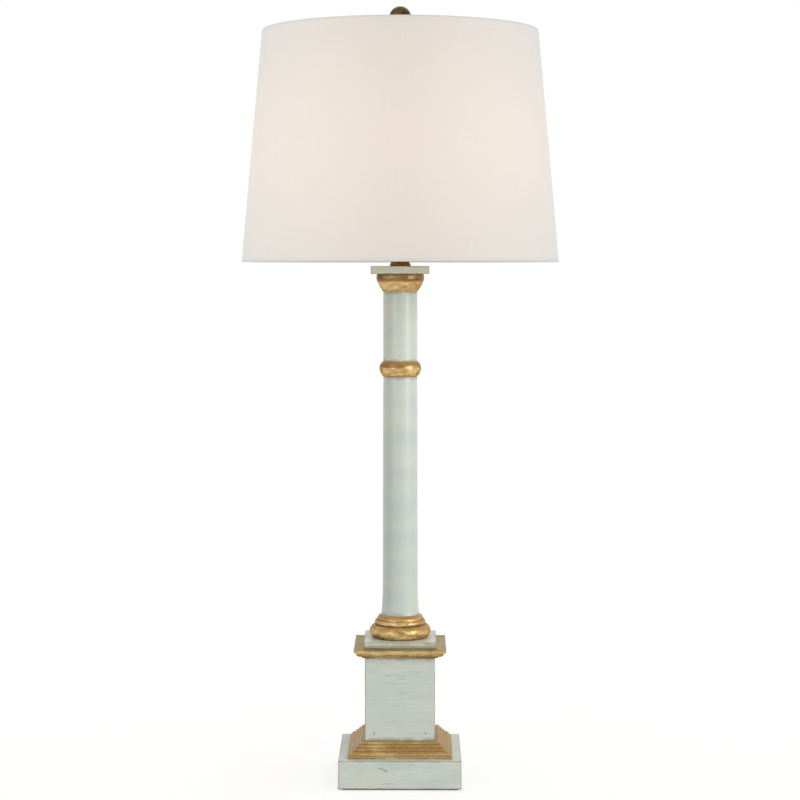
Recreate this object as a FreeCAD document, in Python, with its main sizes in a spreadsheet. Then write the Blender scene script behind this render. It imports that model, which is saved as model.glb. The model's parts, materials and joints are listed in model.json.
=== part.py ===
import FreeCAD, Part
import math
import os
import re

import Sketcher

# A classical column table lamp, 895 mm tall: a painted and gilded wooden column is threaded over one
# steel rod, and carries a lamp socket, a wire harp, a tapered linen shade and a brass finial.
# Millimetres. +Z is up, the front faces -Y, and the origin is the centre of the underside.

os.makedirs("parts", exist_ok=True)
doc = FreeCAD.newDocument("ColumnTableLamp")

# ------------------------------------------------------------------------------------------------
# Driving dimensions
# ------------------------------------------------------------------------------------------------
DIMENSIONS = {
    # square base block on its felt pad
    "felt_side": 134,
    "felt_thickness": 1.5,
    "felt_corner": 3,
    "block_side": 140,
    "block_height": 32,
    "arris_radius": 0.7,
    "recess_radius": 30,
    "recess_depth": 16,
    "rod_hole_radius": 5.5,
    # cord inlet at the back of the block
    "cord_bore_radius": 3.3,
    "cord_axis_height": 9,
    "bushing_barrel_radius": 4.6,
    "bushing_barrel_length": 14,
    "bushing_flange_radius": 6.5,
    "bushing_flange_thickness": 1.5,
    "bushing_fit": 0.05,
    # square pedestal die
    "die_side": 80.5,
    "die_height": 123.5,
    # sloping reeded moulding at the foot of the die
    "foot_moulding_side": 119.8,
    "foot_moulding_fillet": 3,
    "foot_moulding_quirk": 1.1,
    "wide_reed_rise": 4.3,
    "wide_reed_run": 4.4,
    "wide_reed_radius": 3.3,
    "narrow_reed_rise": 2.1,
    "narrow_reed_run": 2.3,
    "narrow_reed_radius": 1.7,
    "reed_groove_rise": 0.8,
    "reed_groove_run": 0.9,
    # cornice moulding round the top of the die
    "cornice_side": 106,
    "cornice_nose": 1.6,
    "cornice_weathering": 0.9,
    "cornice_quirk": 0.9,
    "cornice_ovolo_rise": 5.2,
    "cornice_ovolo_run": 5.6,
    "cornice_ovolo_radius": 6.2,
    "cornice_cove_rise": 2.2,
    "cornice_cove_run": 3.4,
    "cornice_cove_radius": 2.8,
    # square plinth under the round column
    "plinth_side": 83,
    "plinth_height": 6.7,
    # turned base: two tori with a smaller band between them
    "torus_root_radius": 30,
    "torus_height": 15.6,
    "torus_bulge_radius": 8.3,
    "band_root_radius": 28.3,
    "band_height": 4.9,
    "band_bulge_radius": 3.1,
    "collar_root_radius": 25.2,
    "collar_height": 6.1,
    "collar_bulge_radius": 4.5,
    # round shaft with a flared foot and a slight swelling
    "shaft_foot_radius": 25,
    "shaft_flare_height": 3.4,
    "shaft_flare_radius": 4,
    "shaft_low_radius": 22,
    "shaft_sweep_height": 36,
    "shaft_sweep_radius": 420,
    "shaft_body_radius": 20.4,
    "shaft_taper_height": 150,
    "shaft_mid_radius": 20.1,
    "shaft_top_radius": 19.7,
    "shaft_height": 277.4,
    "tenon_radius": 12,
    "tenon_length": 12,
    "tenon_fit": 0.1,
    "tenon_relief": 0.5,
    # gilded ring
    "ring_edge_radius": 20.2,
    "ring_peak_radius": 24.2,
    "ring_height": 17.4,
    "ring_peak_height": 10,
    "ring_lower_curve": 16,
    "ring_upper_curve": 10,
    # necking and capital
    "necking_radius": 19.75,
    "necking_height": 80.7,
    "capital_foot_radius": 19.9,
    "capital_cone_radius": 26.2,
    "capital_cone_height": 10.8,
    "capital_cone_curve": 60,
    "capital_top_radius": 26.9,
    "capital_shoulder_curve": 11,
    "capital_height": 20.6,
    "abacus_side": 67,
    "abacus_height": 9.1,
    # brass cone over the abacus
    "cone_foot_radius": 12.7,
    "cone_lip_height": 1,
    "cone_top_radius": 7.6,
    "cone_height": 13,
    "cone_wall": 1.3,
    "cone_roof": 1.4,
    # threaded rod and what clamps the stack
    "rod_radius": 4.95,
    "rod_bore_radius": 3.2,
    "rod_foot_gap": 4.5,
    "rod_socket_reach": 8,
    "thread_fit": 0.05,
    "washer_radius": 16,
    "washer_thickness": 1.6,
    "lock_washer_radius": 8.2,
    "lock_washer_thickness": 1.2,
    "nut_corner_radius": 8.2,
    "nut_height": 5,
    "lock_nut_height": 3,
    # harp saddle, harp and sleeves
    "saddle_width": 12,
    "saddle_thickness": 1.6,
    "saddle_flat": 15,
    "saddle_shoulder": 9,
    "saddle_rise": 11.5,
    "saddle_peg_height": 6,
    "harp_foot_reach": 27,
    "harp_wire_radius": 1.8,
    "harp_leg_height": 24,
    "harp_flare_height": 80,
    "harp_reach": 57,
    "harp_corner_radius": 48,
    "harp_height": 241.3,
    "harp_collar_radius": 5.6,
    "harp_collar_height": 7.2,
    "harp_stud_radius": 3.1,
    "harp_stud_height": 14,
    "sleeve_length": 14,
    "sleeve_radius": 3.3,
    "sleeve_bead": 0.5,
    "sleeve_fit": 0.08,
    # lamp socket
    "socket_hub_radius": 8,
    "socket_hub_height": 8,
    "socket_cap_dome": 5.6,
    "socket_cap_curve": 11,
    "socket_cap_height": 20,
    "socket_sheet": 0.5,
    "socket_shell_radius": 16.4,
    "socket_shell_height": 46.8,
    "socket_lip": 0.6,
    "liner_paper": 0.7,
    "liner_inset": 2,
    "part_fit": 0.05,
    "insulator_height": 19,
    "insulator_fit": 0.2,
    "insulator_flat": 12.4,
    "insulator_flat_height": 8,
    "screw_shell_radius": 13.9,
    "screw_shell_wall": 0.4,
    "screw_shell_height": 23.5,
    "contact_radius": 4.2,
    "contact_thickness": 1,
    "terminal_head_radius": 2.6,
    "terminal_head_height": 1.6,
    "terminal_shank_radius": 1.5,
    "terminal_shank_length": 5,
    # turn switch on the socket
    "spindle_radius": 2.2,
    "spindle_inner_end": 1,
    "spindle_length": 32,
    "spindle_fit": 0.06,
    "spindle_window": 0.8,
    "knob_radius": 6.4,
    "knob_tip_radius": 5.4,
    "knob_length": 15,
    "knob_gap": 3,
    "knob_nose": 1.2,
    # lamp bulb
    "bulb_tip_radius": 4.2,
    "bulb_tip_height": 1.6,
    "bulb_cap_cone_radius": 6.2,
    "bulb_cap_radius": 13.1,
    "bulb_cap_cone_height": 4,
    "bulb_cap_height": 24,
    "bulb_neck_radius": 14,
    "bulb_neck_height": 28.5,
    "bulb_neck_curve": 101,
    "bulb_shoulder_radius": 26,
    "bulb_radius": 30,
    "bulb_length": 106,
    # tapered shade and its three-armed spider
    "shade_foot_radius": 184,
    "shade_crown_radius": 160,
    "shade_height": 266.5,
    "spider_drop": 16.7,
    "hem_width": 6.5,
    "hem_thickness": 0.6,
    "fabric_thickness": 0.6,
    "liner_thickness": 0.6,
    "ring_wire_radius": 1.6,
    "ring_wire_fit": 0.05,
    "hub_radius": 10,
    "hub_thickness": 2,
    "hub_hole_radius": 3.5,
    "arm_start": 8,
    "arm_wire_radius": 1.6,
    "arm_bend_radius": 6,
    # ball finial
    "finial_foot_radius": 8,
    "finial_foot_height": 2,
    "finial_neck_radius": 4.9,
    "finial_cove_radius": 6,
    "finial_cove_top": 7,
    "finial_bead_foot": 10,
    "finial_bead_height": 3.5,
    "finial_bead_radius": 2.3,
    "finial_ball_neck_radius": 4.6,
    "finial_ball_radius": 12.8,
    "finial_height": 43.2,
    "finial_bore_spare": 1.5,
}
QUARTER_TURN = 90
SPIDER_ARMS = 3
MOULDED_SIDES = {"front": 180, "right": 270, "back": 0, "left": 90}

sheet = doc.addObject("Spreadsheet::Sheet", "Sizes")
for row, (alias, size) in enumerate(DIMENSIONS.items(), start=1):
    sheet.set("A%d" % row, alias.replace("_", " "))
    sheet.set("B%d" % row, str(size))
    sheet.setAlias("B%d" % row, alias)
doc.recompute()


def cells(text):
    """The text of a size, with each size's name turned into a reference to its cell."""
    return re.sub(r"[a-z]+_[a-z_]+", lambda name: "Sizes." + name.group(), text)


def measure(text):
    """The number that a text of sizes stands for now."""
    return float(sheet.evalExpression(cells(text)))


# ------------------------------------------------------------------------------------------------
# Heights where one piece of the stack ends and the next begins
# ------------------------------------------------------------------------------------------------
BLOCK_FOOT = "felt_thickness"
RECESS_ROOF = BLOCK_FOOT + " + recess_depth"
BLOCK_TOP = BLOCK_FOOT + " + block_height"
DIE_TOP = BLOCK_TOP + " + die_height"
PLINTH_TOP = DIE_TOP + " + plinth_height"
BASE_TOP = PLINTH_TOP + " + torus_height + band_height + collar_height"
SHAFT_TOP = BASE_TOP + " + shaft_height"
RING_TOP = SHAFT_TOP + " + ring_height"
NECKING_TOP = RING_TOP + " + necking_height"
CAPITAL_TOP = NECKING_TOP + " + capital_height"
ABACUS_TOP = CAPITAL_TOP + " + abacus_height"
SADDLE_FOOT = ABACUS_TOP + " + cone_height"
SADDLE_TOP = SADDLE_FOOT + " + saddle_thickness"
ARM_TOP = SADDLE_FOOT + " + saddle_rise"
HARP_FOOT = ARM_TOP + " + saddle_peg_height"
HARP_SEAT = SADDLE_FOOT + " + harp_height"
SOCKET_FOOT = SADDLE_TOP + " + lock_nut_height"
SHELL_FOOT = SOCKET_FOOT + " + socket_hub_height + socket_cap_dome + part_fit"
INSULATOR_TOP = SHELL_FOOT + " + insulator_height"
SWITCH_AXIS = INSULATOR_TOP + " - insulator_height / 2"
BULB_TIP = INSULATOR_TOP + " + contact_thickness"
SHADE_FOOT = HARP_SEAT + " + spider_drop - shade_height"
FINIAL_FOOT = HARP_SEAT + " + hub_thickness"


# ------------------------------------------------------------------------------------------------
# Ways of making a piece
# ------------------------------------------------------------------------------------------------
pieces = []


def place(piece, level="0", across="0", back="0", turn=None):
    """Stand a piece at its place: turn is an axis and an angle in degrees."""
    if turn:
        piece.Placement = FreeCAD.Placement(FreeCAD.Vector(), FreeCAD.Rotation(*turn))
    for direction, text in (("x", across), ("y", back), ("z", level)):
        if text != "0":
            piece.setExpression("Placement.Base." + direction, cells(text))


def new_body(label, level="0", across="0", back="0", turn=None):
    body = doc.addObject("PartDesign::Body", label)
    body.Label = label
    place(body, level, across, back, turn)
    pieces.append(body)
    return body


def origin_feature(body, role):
    return [feature for feature in body.Origin.OriginFeatures if feature.Role == role][0]


def new_sketch(body, plane, name):
    sketch = body.newObject("Sketcher::SketchObject", name)
    sketch.AttachmentSupport = [(origin_feature(body, plane), "")]
    sketch.MapMode = "FlatFace"
    return sketch


def bind(sketch, name, text, *constraint):
    """Add one driving constraint and tie it to the size sheet."""
    index = sketch.addConstraint(Sketcher.Constraint(*constraint, measure(text)))
    sketch.renameConstraint(index, name)
    sketch.setExpression("Constraints." + name, cells(text))


def arc_centre(start, end, radius, hollow):
    """Centre of the shorter arc; a full (not hollow) arc bulges to the right of the way it goes."""
    chord = end - start
    reach = math.sqrt(radius ** 2 - (chord.Length / 2) ** 2)
    left = FreeCAD.Vector(-chord.y, chord.x, 0).normalize()
    return (start + end) * 0.5 + left * (-reach if hollow else reach)


def draw(sketch, corners, closed=True):
    """Draw an outline from its corners, each (across, up) as texts of sizes.
    A third text makes the side that leaves the corner an arc of that radius, and
    the word hollow after it turns the arc inwards."""
    spots = [FreeCAD.Vector(measure(corner[0]), measure(corner[1]), 0) for corner in corners]
    sides = len(corners) if closed else len(corners) - 1
    starts, ends = [], []
    for index in range(sides):
        corner = corners[index]
        start, end = spots[index], spots[(index + 1) % len(corners)]
        if len(corner) == 2:
            side = sketch.addGeometry(Part.LineSegment(start, end), False)
            starts.append((side, 1))
            ends.append((side, 2))
            continue
        hollow = "hollow" in corner
        radius = measure(corner[2])
        centre = arc_centre(start, end, radius, hollow)
        first, last = (end, start) if hollow else (start, end)
        angles = [math.atan2(spot.y - centre.y, spot.x - centre.x) for spot in (first, last)]
        if angles[1] < angles[0]:
            angles[1] += 2 * math.pi
        circle = Part.Circle(centre, FreeCAD.Vector(0, 0, 1), radius)
        side = sketch.addGeometry(Part.ArcOfCircle(circle, *angles), False)
        starts.append((side, 2 if hollow else 1))
        ends.append((side, 1 if hollow else 2))
    for index in range(sides):
        following = (index + 1) % sides
        if closed or following:
            sketch.addConstraint(Sketcher.Constraint("Coincident", *ends[index], *starts[following]))
    marks = starts if closed else starts + ends[-1:]
    for index, (corner, mark) in enumerate(zip(corners, marks)):
        for word, axis, text in (("DistanceX", -2, corner[0]), ("DistanceY", -1, corner[1])):
            if text == "0":
                sketch.addConstraint(Sketcher.Constraint("PointOnObject", *mark, axis))
            else:
                bind(sketch, "%s%d" % (word, index), text, word, -1, 1, *mark)
    for index, corner in enumerate(corners[:sides]):
        if len(corner) > 2:
            bind(sketch, "Radius%d" % index, corner[2], "Radius", starts[index][0])


def draw_square(sketch, side):
    """A square about the sketch's own centre."""
    half = measure(side) / 2
    spots = [FreeCAD.Vector(across * half, up * half, 0) for across, up in ((-1, -1), (1, -1), (1, 1), (-1, 1))]
    lines = [sketch.addGeometry(Part.LineSegment(spots[index], spots[(index + 1) % 4]), False)
             for index in range(4)]
    for index, line in enumerate(lines):
        sketch.addConstraint(Sketcher.Constraint("Coincident", line, 2, lines[(index + 1) % 4], 1))
        sketch.addConstraint(Sketcher.Constraint("Vertical" if index % 2 else "Horizontal", line))
    sketch.addConstraint(Sketcher.Constraint("Symmetric", lines[0], 1, lines[2], 1, -1, 1))
    bind(sketch, "Width", side, "DistanceX", lines[0], 1, lines[0], 2)
    bind(sketch, "Depth", side, "DistanceY", lines[1], 1, lines[1], 2)


def draw_circle(sketch, radius, across="0", up="0"):
    centre = FreeCAD.Vector(measure(across), measure(up), 0)
    ring = sketch.addGeometry(Part.Circle(centre, FreeCAD.Vector(0, 0, 1), measure(radius)), False)
    for word, axis, text in (("DistanceX", -2, across), ("DistanceY", -1, up)):
        if text == "0":
            sketch.addConstraint(Sketcher.Constraint("PointOnObject", ring, 3, axis))
        else:
            bind(sketch, word, text, word, -1, 1, ring, 3)
    bind(sketch, "Radius%d" % ring, radius, "Radius", ring)


def pad(body, sketch, length, name, both_ways=False):
    feature = body.newObject("PartDesign::Pad", name)
    feature.Profile = sketch
    feature.setExpression("Length", cells(length))
    if both_ways:
        feature.SideType = "Symmetric"
    return feature


def pocket(body, sketch, name, depth=None, reverse=False, both_ways=False):
    """Cut a sketch out of the body, right through unless a depth is given, and make sure that it cut."""
    doc.recompute()
    before = body.Tip.Shape.Volume
    feature = body.newObject("PartDesign::Pocket", name)
    feature.Profile = sketch
    feature.Reversed = reverse
    if depth:
        feature.setExpression("Length", cells(depth))
    else:
        feature.Type = "ThroughAll"
    if both_ways:
        feature.SideType = "Symmetric"
    doc.recompute()
    if feature.Shape.Volume >= before - 1e-6:
        raise ValueError(name + " cut nothing")
    return feature


def revolve(body, sketch, name):
    feature = body.newObject("PartDesign::Revolution", name)
    feature.Profile = sketch
    feature.ReferenceAxis = (sketch, ["V_Axis"])
    feature.Angle = 360
    return feature


def turned(label, corners, **where):
    """A piece turned about its own Z axis, from the outline of one half of its section."""
    body = new_body(label, **where)
    sketch = new_sketch(body, "XZ_Plane", label + "_section")
    draw(sketch, corners)
    revolve(body, sketch, label + "_turning")
    return body


def washer(label, inner, outer, thickness, **where):
    return turned(label, [(inner, "0"), (outer, "0"), (outer, thickness), (inner, thickness)], **where)


def ease_edges(body, feature, radius, name, upright_only=False):
    """Round the straight edges of a squared block, as sanding and paint leave them."""
    doc.recompute()
    edges = []
    for number, edge in enumerate(feature.Shape.Edges, start=1):
        straight = isinstance(edge.Curve, Part.Line)
        upright = straight and abs(edge.tangentAt(edge.FirstParameter).z) > 0.9
        if straight and (upright or not upright_only):
            edges.append("Edge%d" % number)
    fillet = body.newObject("PartDesign::Fillet", name)
    fillet.Base = (feature, edges)
    fillet.setExpression("Radius", cells(radius))
    return fillet


def squared(label, side, height, upright_only=False, bored=True, **where):
    """A square block with its rod hole, all made from wood or cut from sheet."""
    body = new_body(label, **where)
    sketch = new_sketch(body, "XY_Plane", label + "_plan")
    draw_square(sketch, side)
    if bored:
        draw_circle(sketch, "rod_hole_radius")
    block = pad(body, sketch, height, label + "_pad")
    ease_edges(body, block, "arris_radius", label + "_arrises", upright_only)
    return body


def moulding_strip(label, outline, side, level, angle):
    """One side of a square frame of moulding: the outline runs along the side and both ends are mitred.
    The outline is given across from the column's axis and up from the moulding's foot."""
    body = new_body(label, level=level, turn=(FreeCAD.Vector(0, 0, 1), angle))
    section = new_sketch(body, "YZ_Plane", label + "_section")
    draw(section, outline)
    pad(body, section, side, label + "_run", both_ways=True)
    mitres = new_sketch(body, "XY_Plane", label + "_mitres")
    near, far = "die_side / 4", side
    draw_mitre_pair(mitres, near, far)
    pocket(body, mitres, label + "_mitre_cuts", reverse=True)
    return body


def draw_mitre_pair(sketch, near, far):
    """Two triangles, left and right, that leave only what lies between the diagonals of the plan."""
    inner, outer = measure(near), measure(far)
    sides = {}
    for mirror in (1, -1):
        spots = [FreeCAD.Vector(mirror * across, up, 0)
                 for across, up in ((inner, inner), (outer, inner), (outer, outer))]
        sides[mirror] = [sketch.addGeometry(Part.LineSegment(spots[index], spots[(index + 1) % 3]), False)
                         for index in range(3)]
        for index in range(3):
            joint = (sides[mirror][index], 2, sides[mirror][(index + 1) % 3], 1)
            sketch.addConstraint(Sketcher.Constraint("Coincident", *joint))
    for index, (across, up) in enumerate(((near, near), (far, near), (far, far))):
        mark = (sides[1][index], 1)
        bind(sketch, "Across%d" % index, across, "DistanceX", -1, 1, *mark)
        bind(sketch, "Up%d" % index, up, "DistanceY", -1, 1, *mark)
        sketch.addConstraint(Sketcher.Constraint("Symmetric", *mark, sides[-1][index], 1, -2))


def hex_nut(label, height, level):
    """A hexagon nut on the rod, made of a prism and its bore."""
    prism = doc.addObject("Part::Prism", label + "_prism")
    prism.Polygon = 6
    prism.setExpression("Circumradius", cells("nut_corner_radius"))
    prism.setExpression("Height", cells(height))
    bore = doc.addObject("Part::Cylinder", label + "_bore")
    bore.setExpression("Radius", cells("rod_radius + thread_fit"))
    bore.setExpression("Height", cells(height))
    nut = doc.addObject("Part::Cut", label)
    nut.Label = label
    nut.Base = prism
    nut.Tool = bore
    place(nut, level)
    pieces.append(nut)


def pipe(body, path, section, name):
    feature = body.newObject("PartDesign::AdditivePipe", name)
    feature.Profile = section
    feature.Spine = path
    return feature


def mirror_across(body, originals, name):
    feature = body.newObject("PartDesign::Mirrored", name)
    feature.Originals = originals
    feature.MirrorPlane = (origin_feature(body, "YZ_Plane"), [""])
    body.Tip = feature
    return feature


# ------------------------------------------------------------------------------------------------
# Base block, felt pad and cord inlet
# ------------------------------------------------------------------------------------------------
def make_felt():
    body = new_body("base_felt")
    sketch = new_sketch(body, "XY_Plane", "base_felt_plan")
    draw_square(sketch, "felt_side")
    sheet_pad = pad(body, sketch, "felt_thickness", "base_felt_pad")
    ease_edges(body, sheet_pad, "felt_corner", "base_felt_corners", upright_only=True)


def make_block():
    """The block is recessed below for the washer and nut, and drilled from the back for the cord."""
    body = squared("base_block", "block_side", "block_height", level=BLOCK_FOOT)
    recess = new_sketch(body, "XY_Plane", "base_block_recess_plan")
    draw_circle(recess, "recess_radius")
    pocket(body, recess, "base_block_recess", "recess_depth", reverse=True)
    cord_way = new_sketch(body, "XZ_Plane", "base_block_cord_plan")
    draw_circle(cord_way, "bushing_barrel_radius + bushing_fit", up="cord_axis_height")
    pocket(body, cord_way, "base_block_cord_way", "block_side / 2")


def make_cord_bushing():
    barrel = "bushing_barrel_length"
    turned("cord_bushing", [
        ("cord_bore_radius", "0"),
        ("bushing_barrel_radius", "0"),
        ("bushing_barrel_radius", barrel),
        ("bushing_flange_radius", barrel),
        ("bushing_flange_radius", barrel + " + bushing_flange_thickness"),
        ("cord_bore_radius", barrel + " + bushing_flange_thickness"),
    ], level=BLOCK_FOOT + " + cord_axis_height", back="block_side / 2 - bushing_barrel_length",
        turn=(FreeCAD.Vector(1, 0, 0), -QUARTER_TURN))


# ------------------------------------------------------------------------------------------------
# Pedestal: die and the two gilded mouldings
# ------------------------------------------------------------------------------------------------
def foot_moulding_outline():
    """A flat fillet below, then one wide and three narrow reeds that step up the slope to the die."""
    across, up = "foot_moulding_side / 2", "foot_moulding_fillet"
    corners = [("die_side / 2", "0"), (across, "0"), (across, up)]
    across += " - foot_moulding_quirk"
    corners.append((across, up))
    for reed in ("wide_reed", "narrow_reed", "narrow_reed", "narrow_reed"):
        across += " - reed_groove_run"
        up += " + reed_groove_rise"
        corners.append((across, up, reed + "_radius"))
        across += " - %s_run" % reed
        up += " + %s_rise" % reed
        corners.append((across, up))
    corners.append(("die_side / 2", up))
    return corners


def cornice_height():
    return " + ".join(("cornice_cove_rise", "cornice_ovolo_rise", "cornice_quirk", "cornice_nose",
                       "cornice_weathering"))


def cornice_outline():
    """From below: a cove off the die, an ovolo, a quirk, the square nose and the sloping top."""
    nose = "cornice_side / 2"
    ovolo_top = "cornice_cove_rise + cornice_ovolo_rise"
    ovolo_side = nose + " - cornice_quirk"
    cove_side = ovolo_side + " - cornice_ovolo_run"
    nose_foot = ovolo_top + " + cornice_quirk"
    nose_top = nose_foot + " + cornice_nose"
    return [
        ("die_side / 2", "0"),
        (cove_side + " - cornice_cove_run", "0", "cornice_cove_radius", "hollow"),
        (cove_side, "cornice_cove_rise", "cornice_ovolo_radius"),
        (ovolo_side, ovolo_top),
        (ovolo_side, nose_foot),
        (nose, nose_foot),
        (nose, nose_top),
        ("die_side / 2", cornice_height()),
    ]


def make_pedestal():
    squared("pedestal_die", "die_side", "die_height", upright_only=True, level=BLOCK_TOP)
    for side, angle in MOULDED_SIDES.items():
        moulding_strip("base_moulding_" + side, foot_moulding_outline(), "foot_moulding_side",
                       BLOCK_TOP, angle)
        moulding_strip("cornice_moulding_" + side, cornice_outline(), "cornice_side",
                       "%s - (%s)" % (DIE_TOP, cornice_height()), angle)
    squared("column_plinth", "plinth_side", "plinth_height", level=DIE_TOP)


# ------------------------------------------------------------------------------------------------
# Round column: turned pieces threaded over the rod
# ------------------------------------------------------------------------------------------------
def make_column_base():
    """The shaft's lower tenon stands in the mortise at the top of the base."""
    band_foot = "torus_height"
    collar_foot = band_foot + " + band_height"
    top = collar_foot + " + collar_height"
    mortise = "tenon_radius + tenon_fit"
    mortise_floor = top + " - tenon_length - tenon_relief"
    turned("column_base", [
        ("rod_hole_radius", "0"),
        ("torus_root_radius", "0", "torus_bulge_radius"),
        ("torus_root_radius", band_foot),
        ("band_root_radius", band_foot, "band_bulge_radius"),
        ("band_root_radius", collar_foot),
        ("collar_root_radius", collar_foot, "collar_bulge_radius"),
        ("collar_root_radius", top),
        (mortise, top),
        (mortise, mortise_floor),
        ("rod_hole_radius", mortise_floor),
    ], level=PLINTH_TOP)


def make_column_shaft():
    """Tenons at both ends: the lower one enters the base, the upper one the ring and the necking."""
    foot = "tenon_length"
    flare = foot + " + shaft_flare_height"
    sweep = flare + " + shaft_sweep_height"
    taper = sweep + " + shaft_taper_height"
    top = foot + " + shaft_height"
    tip = top + " + ring_height + tenon_length"
    turned("column_shaft", [
        ("rod_hole_radius", "0"),
        ("tenon_radius", "0"),
        ("tenon_radius", foot),
        ("shaft_foot_radius", foot, "shaft_flare_radius", "hollow"),
        ("shaft_low_radius", flare, "shaft_sweep_radius", "hollow"),
        ("shaft_body_radius", sweep),
        ("shaft_mid_radius", taper),
        ("shaft_top_radius", top),
        ("tenon_radius", top),
        ("tenon_radius", tip),
        ("rod_hole_radius", tip),
    ], level=BASE_TOP + " - tenon_length")


def make_shaft_ring():
    turned("shaft_ring", [
        ("tenon_radius + tenon_fit", "0"),
        ("ring_edge_radius", "0", "ring_lower_curve"),
        ("ring_peak_radius", "ring_peak_height", "ring_upper_curve"),
        ("ring_edge_radius", "ring_height"),
        ("tenon_radius + tenon_fit", "ring_height"),
    ], level=SHAFT_TOP)


def make_necking():
    mortise = "tenon_radius + tenon_fit"
    mortise_roof = "tenon_length + tenon_relief"
    turned("column_necking", [
        (mortise, "0"),
        ("necking_radius", "0"),
        ("necking_radius", "necking_height"),
        ("rod_hole_radius", "necking_height"),
        ("rod_hole_radius", mortise_roof),
        (mortise, mortise_roof),
    ], level=RING_TOP)


def make_capital():
    """A cone that swells out of the necking and rolls over into a round shoulder."""
    turned("capital", [
        ("rod_hole_radius", "0"),
        ("capital_foot_radius", "0", "capital_cone_curve"),
        ("capital_cone_radius", "capital_cone_height", "capital_shoulder_curve"),
        ("capital_top_radius", "capital_height"),
        ("rod_hole_radius", "capital_height"),
    ], level=NECKING_TOP)


def make_neck_cap():
    """A thin spun cone, closed by a flat roof that the rod passes through."""
    turned("neck_cap", [
        ("cone_foot_radius - cone_wall", "0"),
        ("cone_foot_radius", "0"),
        ("cone_foot_radius", "cone_lip_height"),
        ("cone_top_radius", "cone_height - cone_roof / 2"),
        ("cone_top_radius", "cone_height"),
        ("rod_radius + part_fit", "cone_height"),
        ("rod_radius + part_fit", "cone_height - cone_roof"),
        ("cone_top_radius - cone_wall", "cone_height - cone_roof"),
        ("cone_foot_radius - cone_wall", "cone_lip_height"),
    ], level=ABACUS_TOP)


def make_column():
    make_column_base()
    make_column_shaft()
    make_shaft_ring()
    make_necking()
    make_capital()
    squared("abacus", "abacus_side", "abacus_height", level=CAPITAL_TOP)
    make_neck_cap()


# ------------------------------------------------------------------------------------------------
# Threaded rod, washers and nuts
# ------------------------------------------------------------------------------------------------
def make_rod_set():
    rod_foot = "%s - washer_thickness - lock_washer_thickness - nut_height - rod_foot_gap" % RECESS_ROOF
    rod_length = "%s + rod_socket_reach - (%s)" % (SOCKET_FOOT, rod_foot)
    bore = "rod_radius + thread_fit"
    washer("threaded_rod", "rod_bore_radius", "rod_radius", rod_length, level=rod_foot)
    washer("bottom_washer", bore, "washer_radius", "washer_thickness",
           level=RECESS_ROOF + " - washer_thickness")
    washer("bottom_lock_washer", bore, "lock_washer_radius", "lock_washer_thickness",
           level=RECESS_ROOF + " - washer_thickness - lock_washer_thickness")
    hex_nut("bottom_nut", "nut_height",
            RECESS_ROOF + " - washer_thickness - lock_washer_thickness - nut_height")
    hex_nut("top_lock_nut", "lock_nut_height", SADDLE_TOP)


# ------------------------------------------------------------------------------------------------
# Harp: saddle, wire bow, stud and the two locking sleeves
# ------------------------------------------------------------------------------------------------
def make_saddle():
    """A bent strip over the cone, with a round peg at the tip of each arm."""
    body = new_body("harp_saddle", level=SADDLE_FOOT)
    tip_outer = "harp_foot_reach + saddle_thickness / 2"
    tip_inner = "harp_foot_reach - saddle_thickness / 2"
    section = new_sketch(body, "XZ_Plane", "harp_saddle_section")
    draw(section, [
        ("0", "0"),
        ("saddle_flat", "0"),
        (tip_outer, "saddle_shoulder"),
        (tip_outer, "saddle_rise"),
        (tip_inner, "saddle_rise"),
        (tip_inner, "saddle_shoulder + saddle_thickness / 2"),
        ("saddle_flat - saddle_thickness / 2", "saddle_thickness"),
        ("0", "saddle_thickness"),
    ])
    strip = pad(body, section, "saddle_width", "harp_saddle_strip", both_ways=True)
    peg_round = new_sketch(body, "XY_Plane", "harp_saddle_peg_round")
    draw_circle(peg_round, "harp_wire_radius", across="harp_foot_reach")
    peg_round.setExpression("AttachmentOffset.Base.z", cells("saddle_rise - saddle_thickness"))
    peg = pad(body, peg_round, "saddle_peg_height + saddle_thickness", "harp_saddle_peg")
    mirror_across(body, [strip, peg], "harp_saddle_both_arms")
    hole = new_sketch(body, "XY_Plane", "harp_saddle_hole_plan")
    draw_circle(hole, "rod_radius + part_fit")
    pocket(body, hole, "harp_saddle_hole", "saddle_thickness", reverse=True)


def make_harp_wire():
    """Half the bow from the middle of the top to one foot, mirrored."""
    body = new_body("harp_wire", level=HARP_FOOT)
    top = "harp_height - saddle_rise - saddle_peg_height - harp_collar_height / 2"
    corner_foot = top + " - harp_corner_radius"
    flare_top = "harp_leg_height + harp_flare_height"
    flare_middle = "harp_leg_height + harp_flare_height / 2"
    flare_run = "(harp_reach - harp_foot_reach)"
    flare_radius = "(%s ^ 2 + harp_flare_height ^ 2) / (4 * %s)" % (flare_run, flare_run)
    path = new_sketch(body, "XZ_Plane", "harp_wire_path")
    draw(path, [
        ("harp_foot_reach", "0"),
        ("harp_foot_reach", "harp_leg_height", flare_radius, "hollow"),
        ("(harp_foot_reach + harp_reach) / 2", flare_middle, flare_radius),
        ("harp_reach", flare_top),
        ("harp_reach", corner_foot, "harp_corner_radius"),
        ("harp_reach - harp_corner_radius", top),
        ("0", top),
    ], closed=False)
    wire = new_sketch(body, "XY_Plane", "harp_wire_round")
    draw_circle(wire, "harp_wire_radius", across="harp_foot_reach")
    bow = pipe(body, path, wire, "harp_wire_half")
    mirror_across(body, [bow], "harp_wire_bow")


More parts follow.
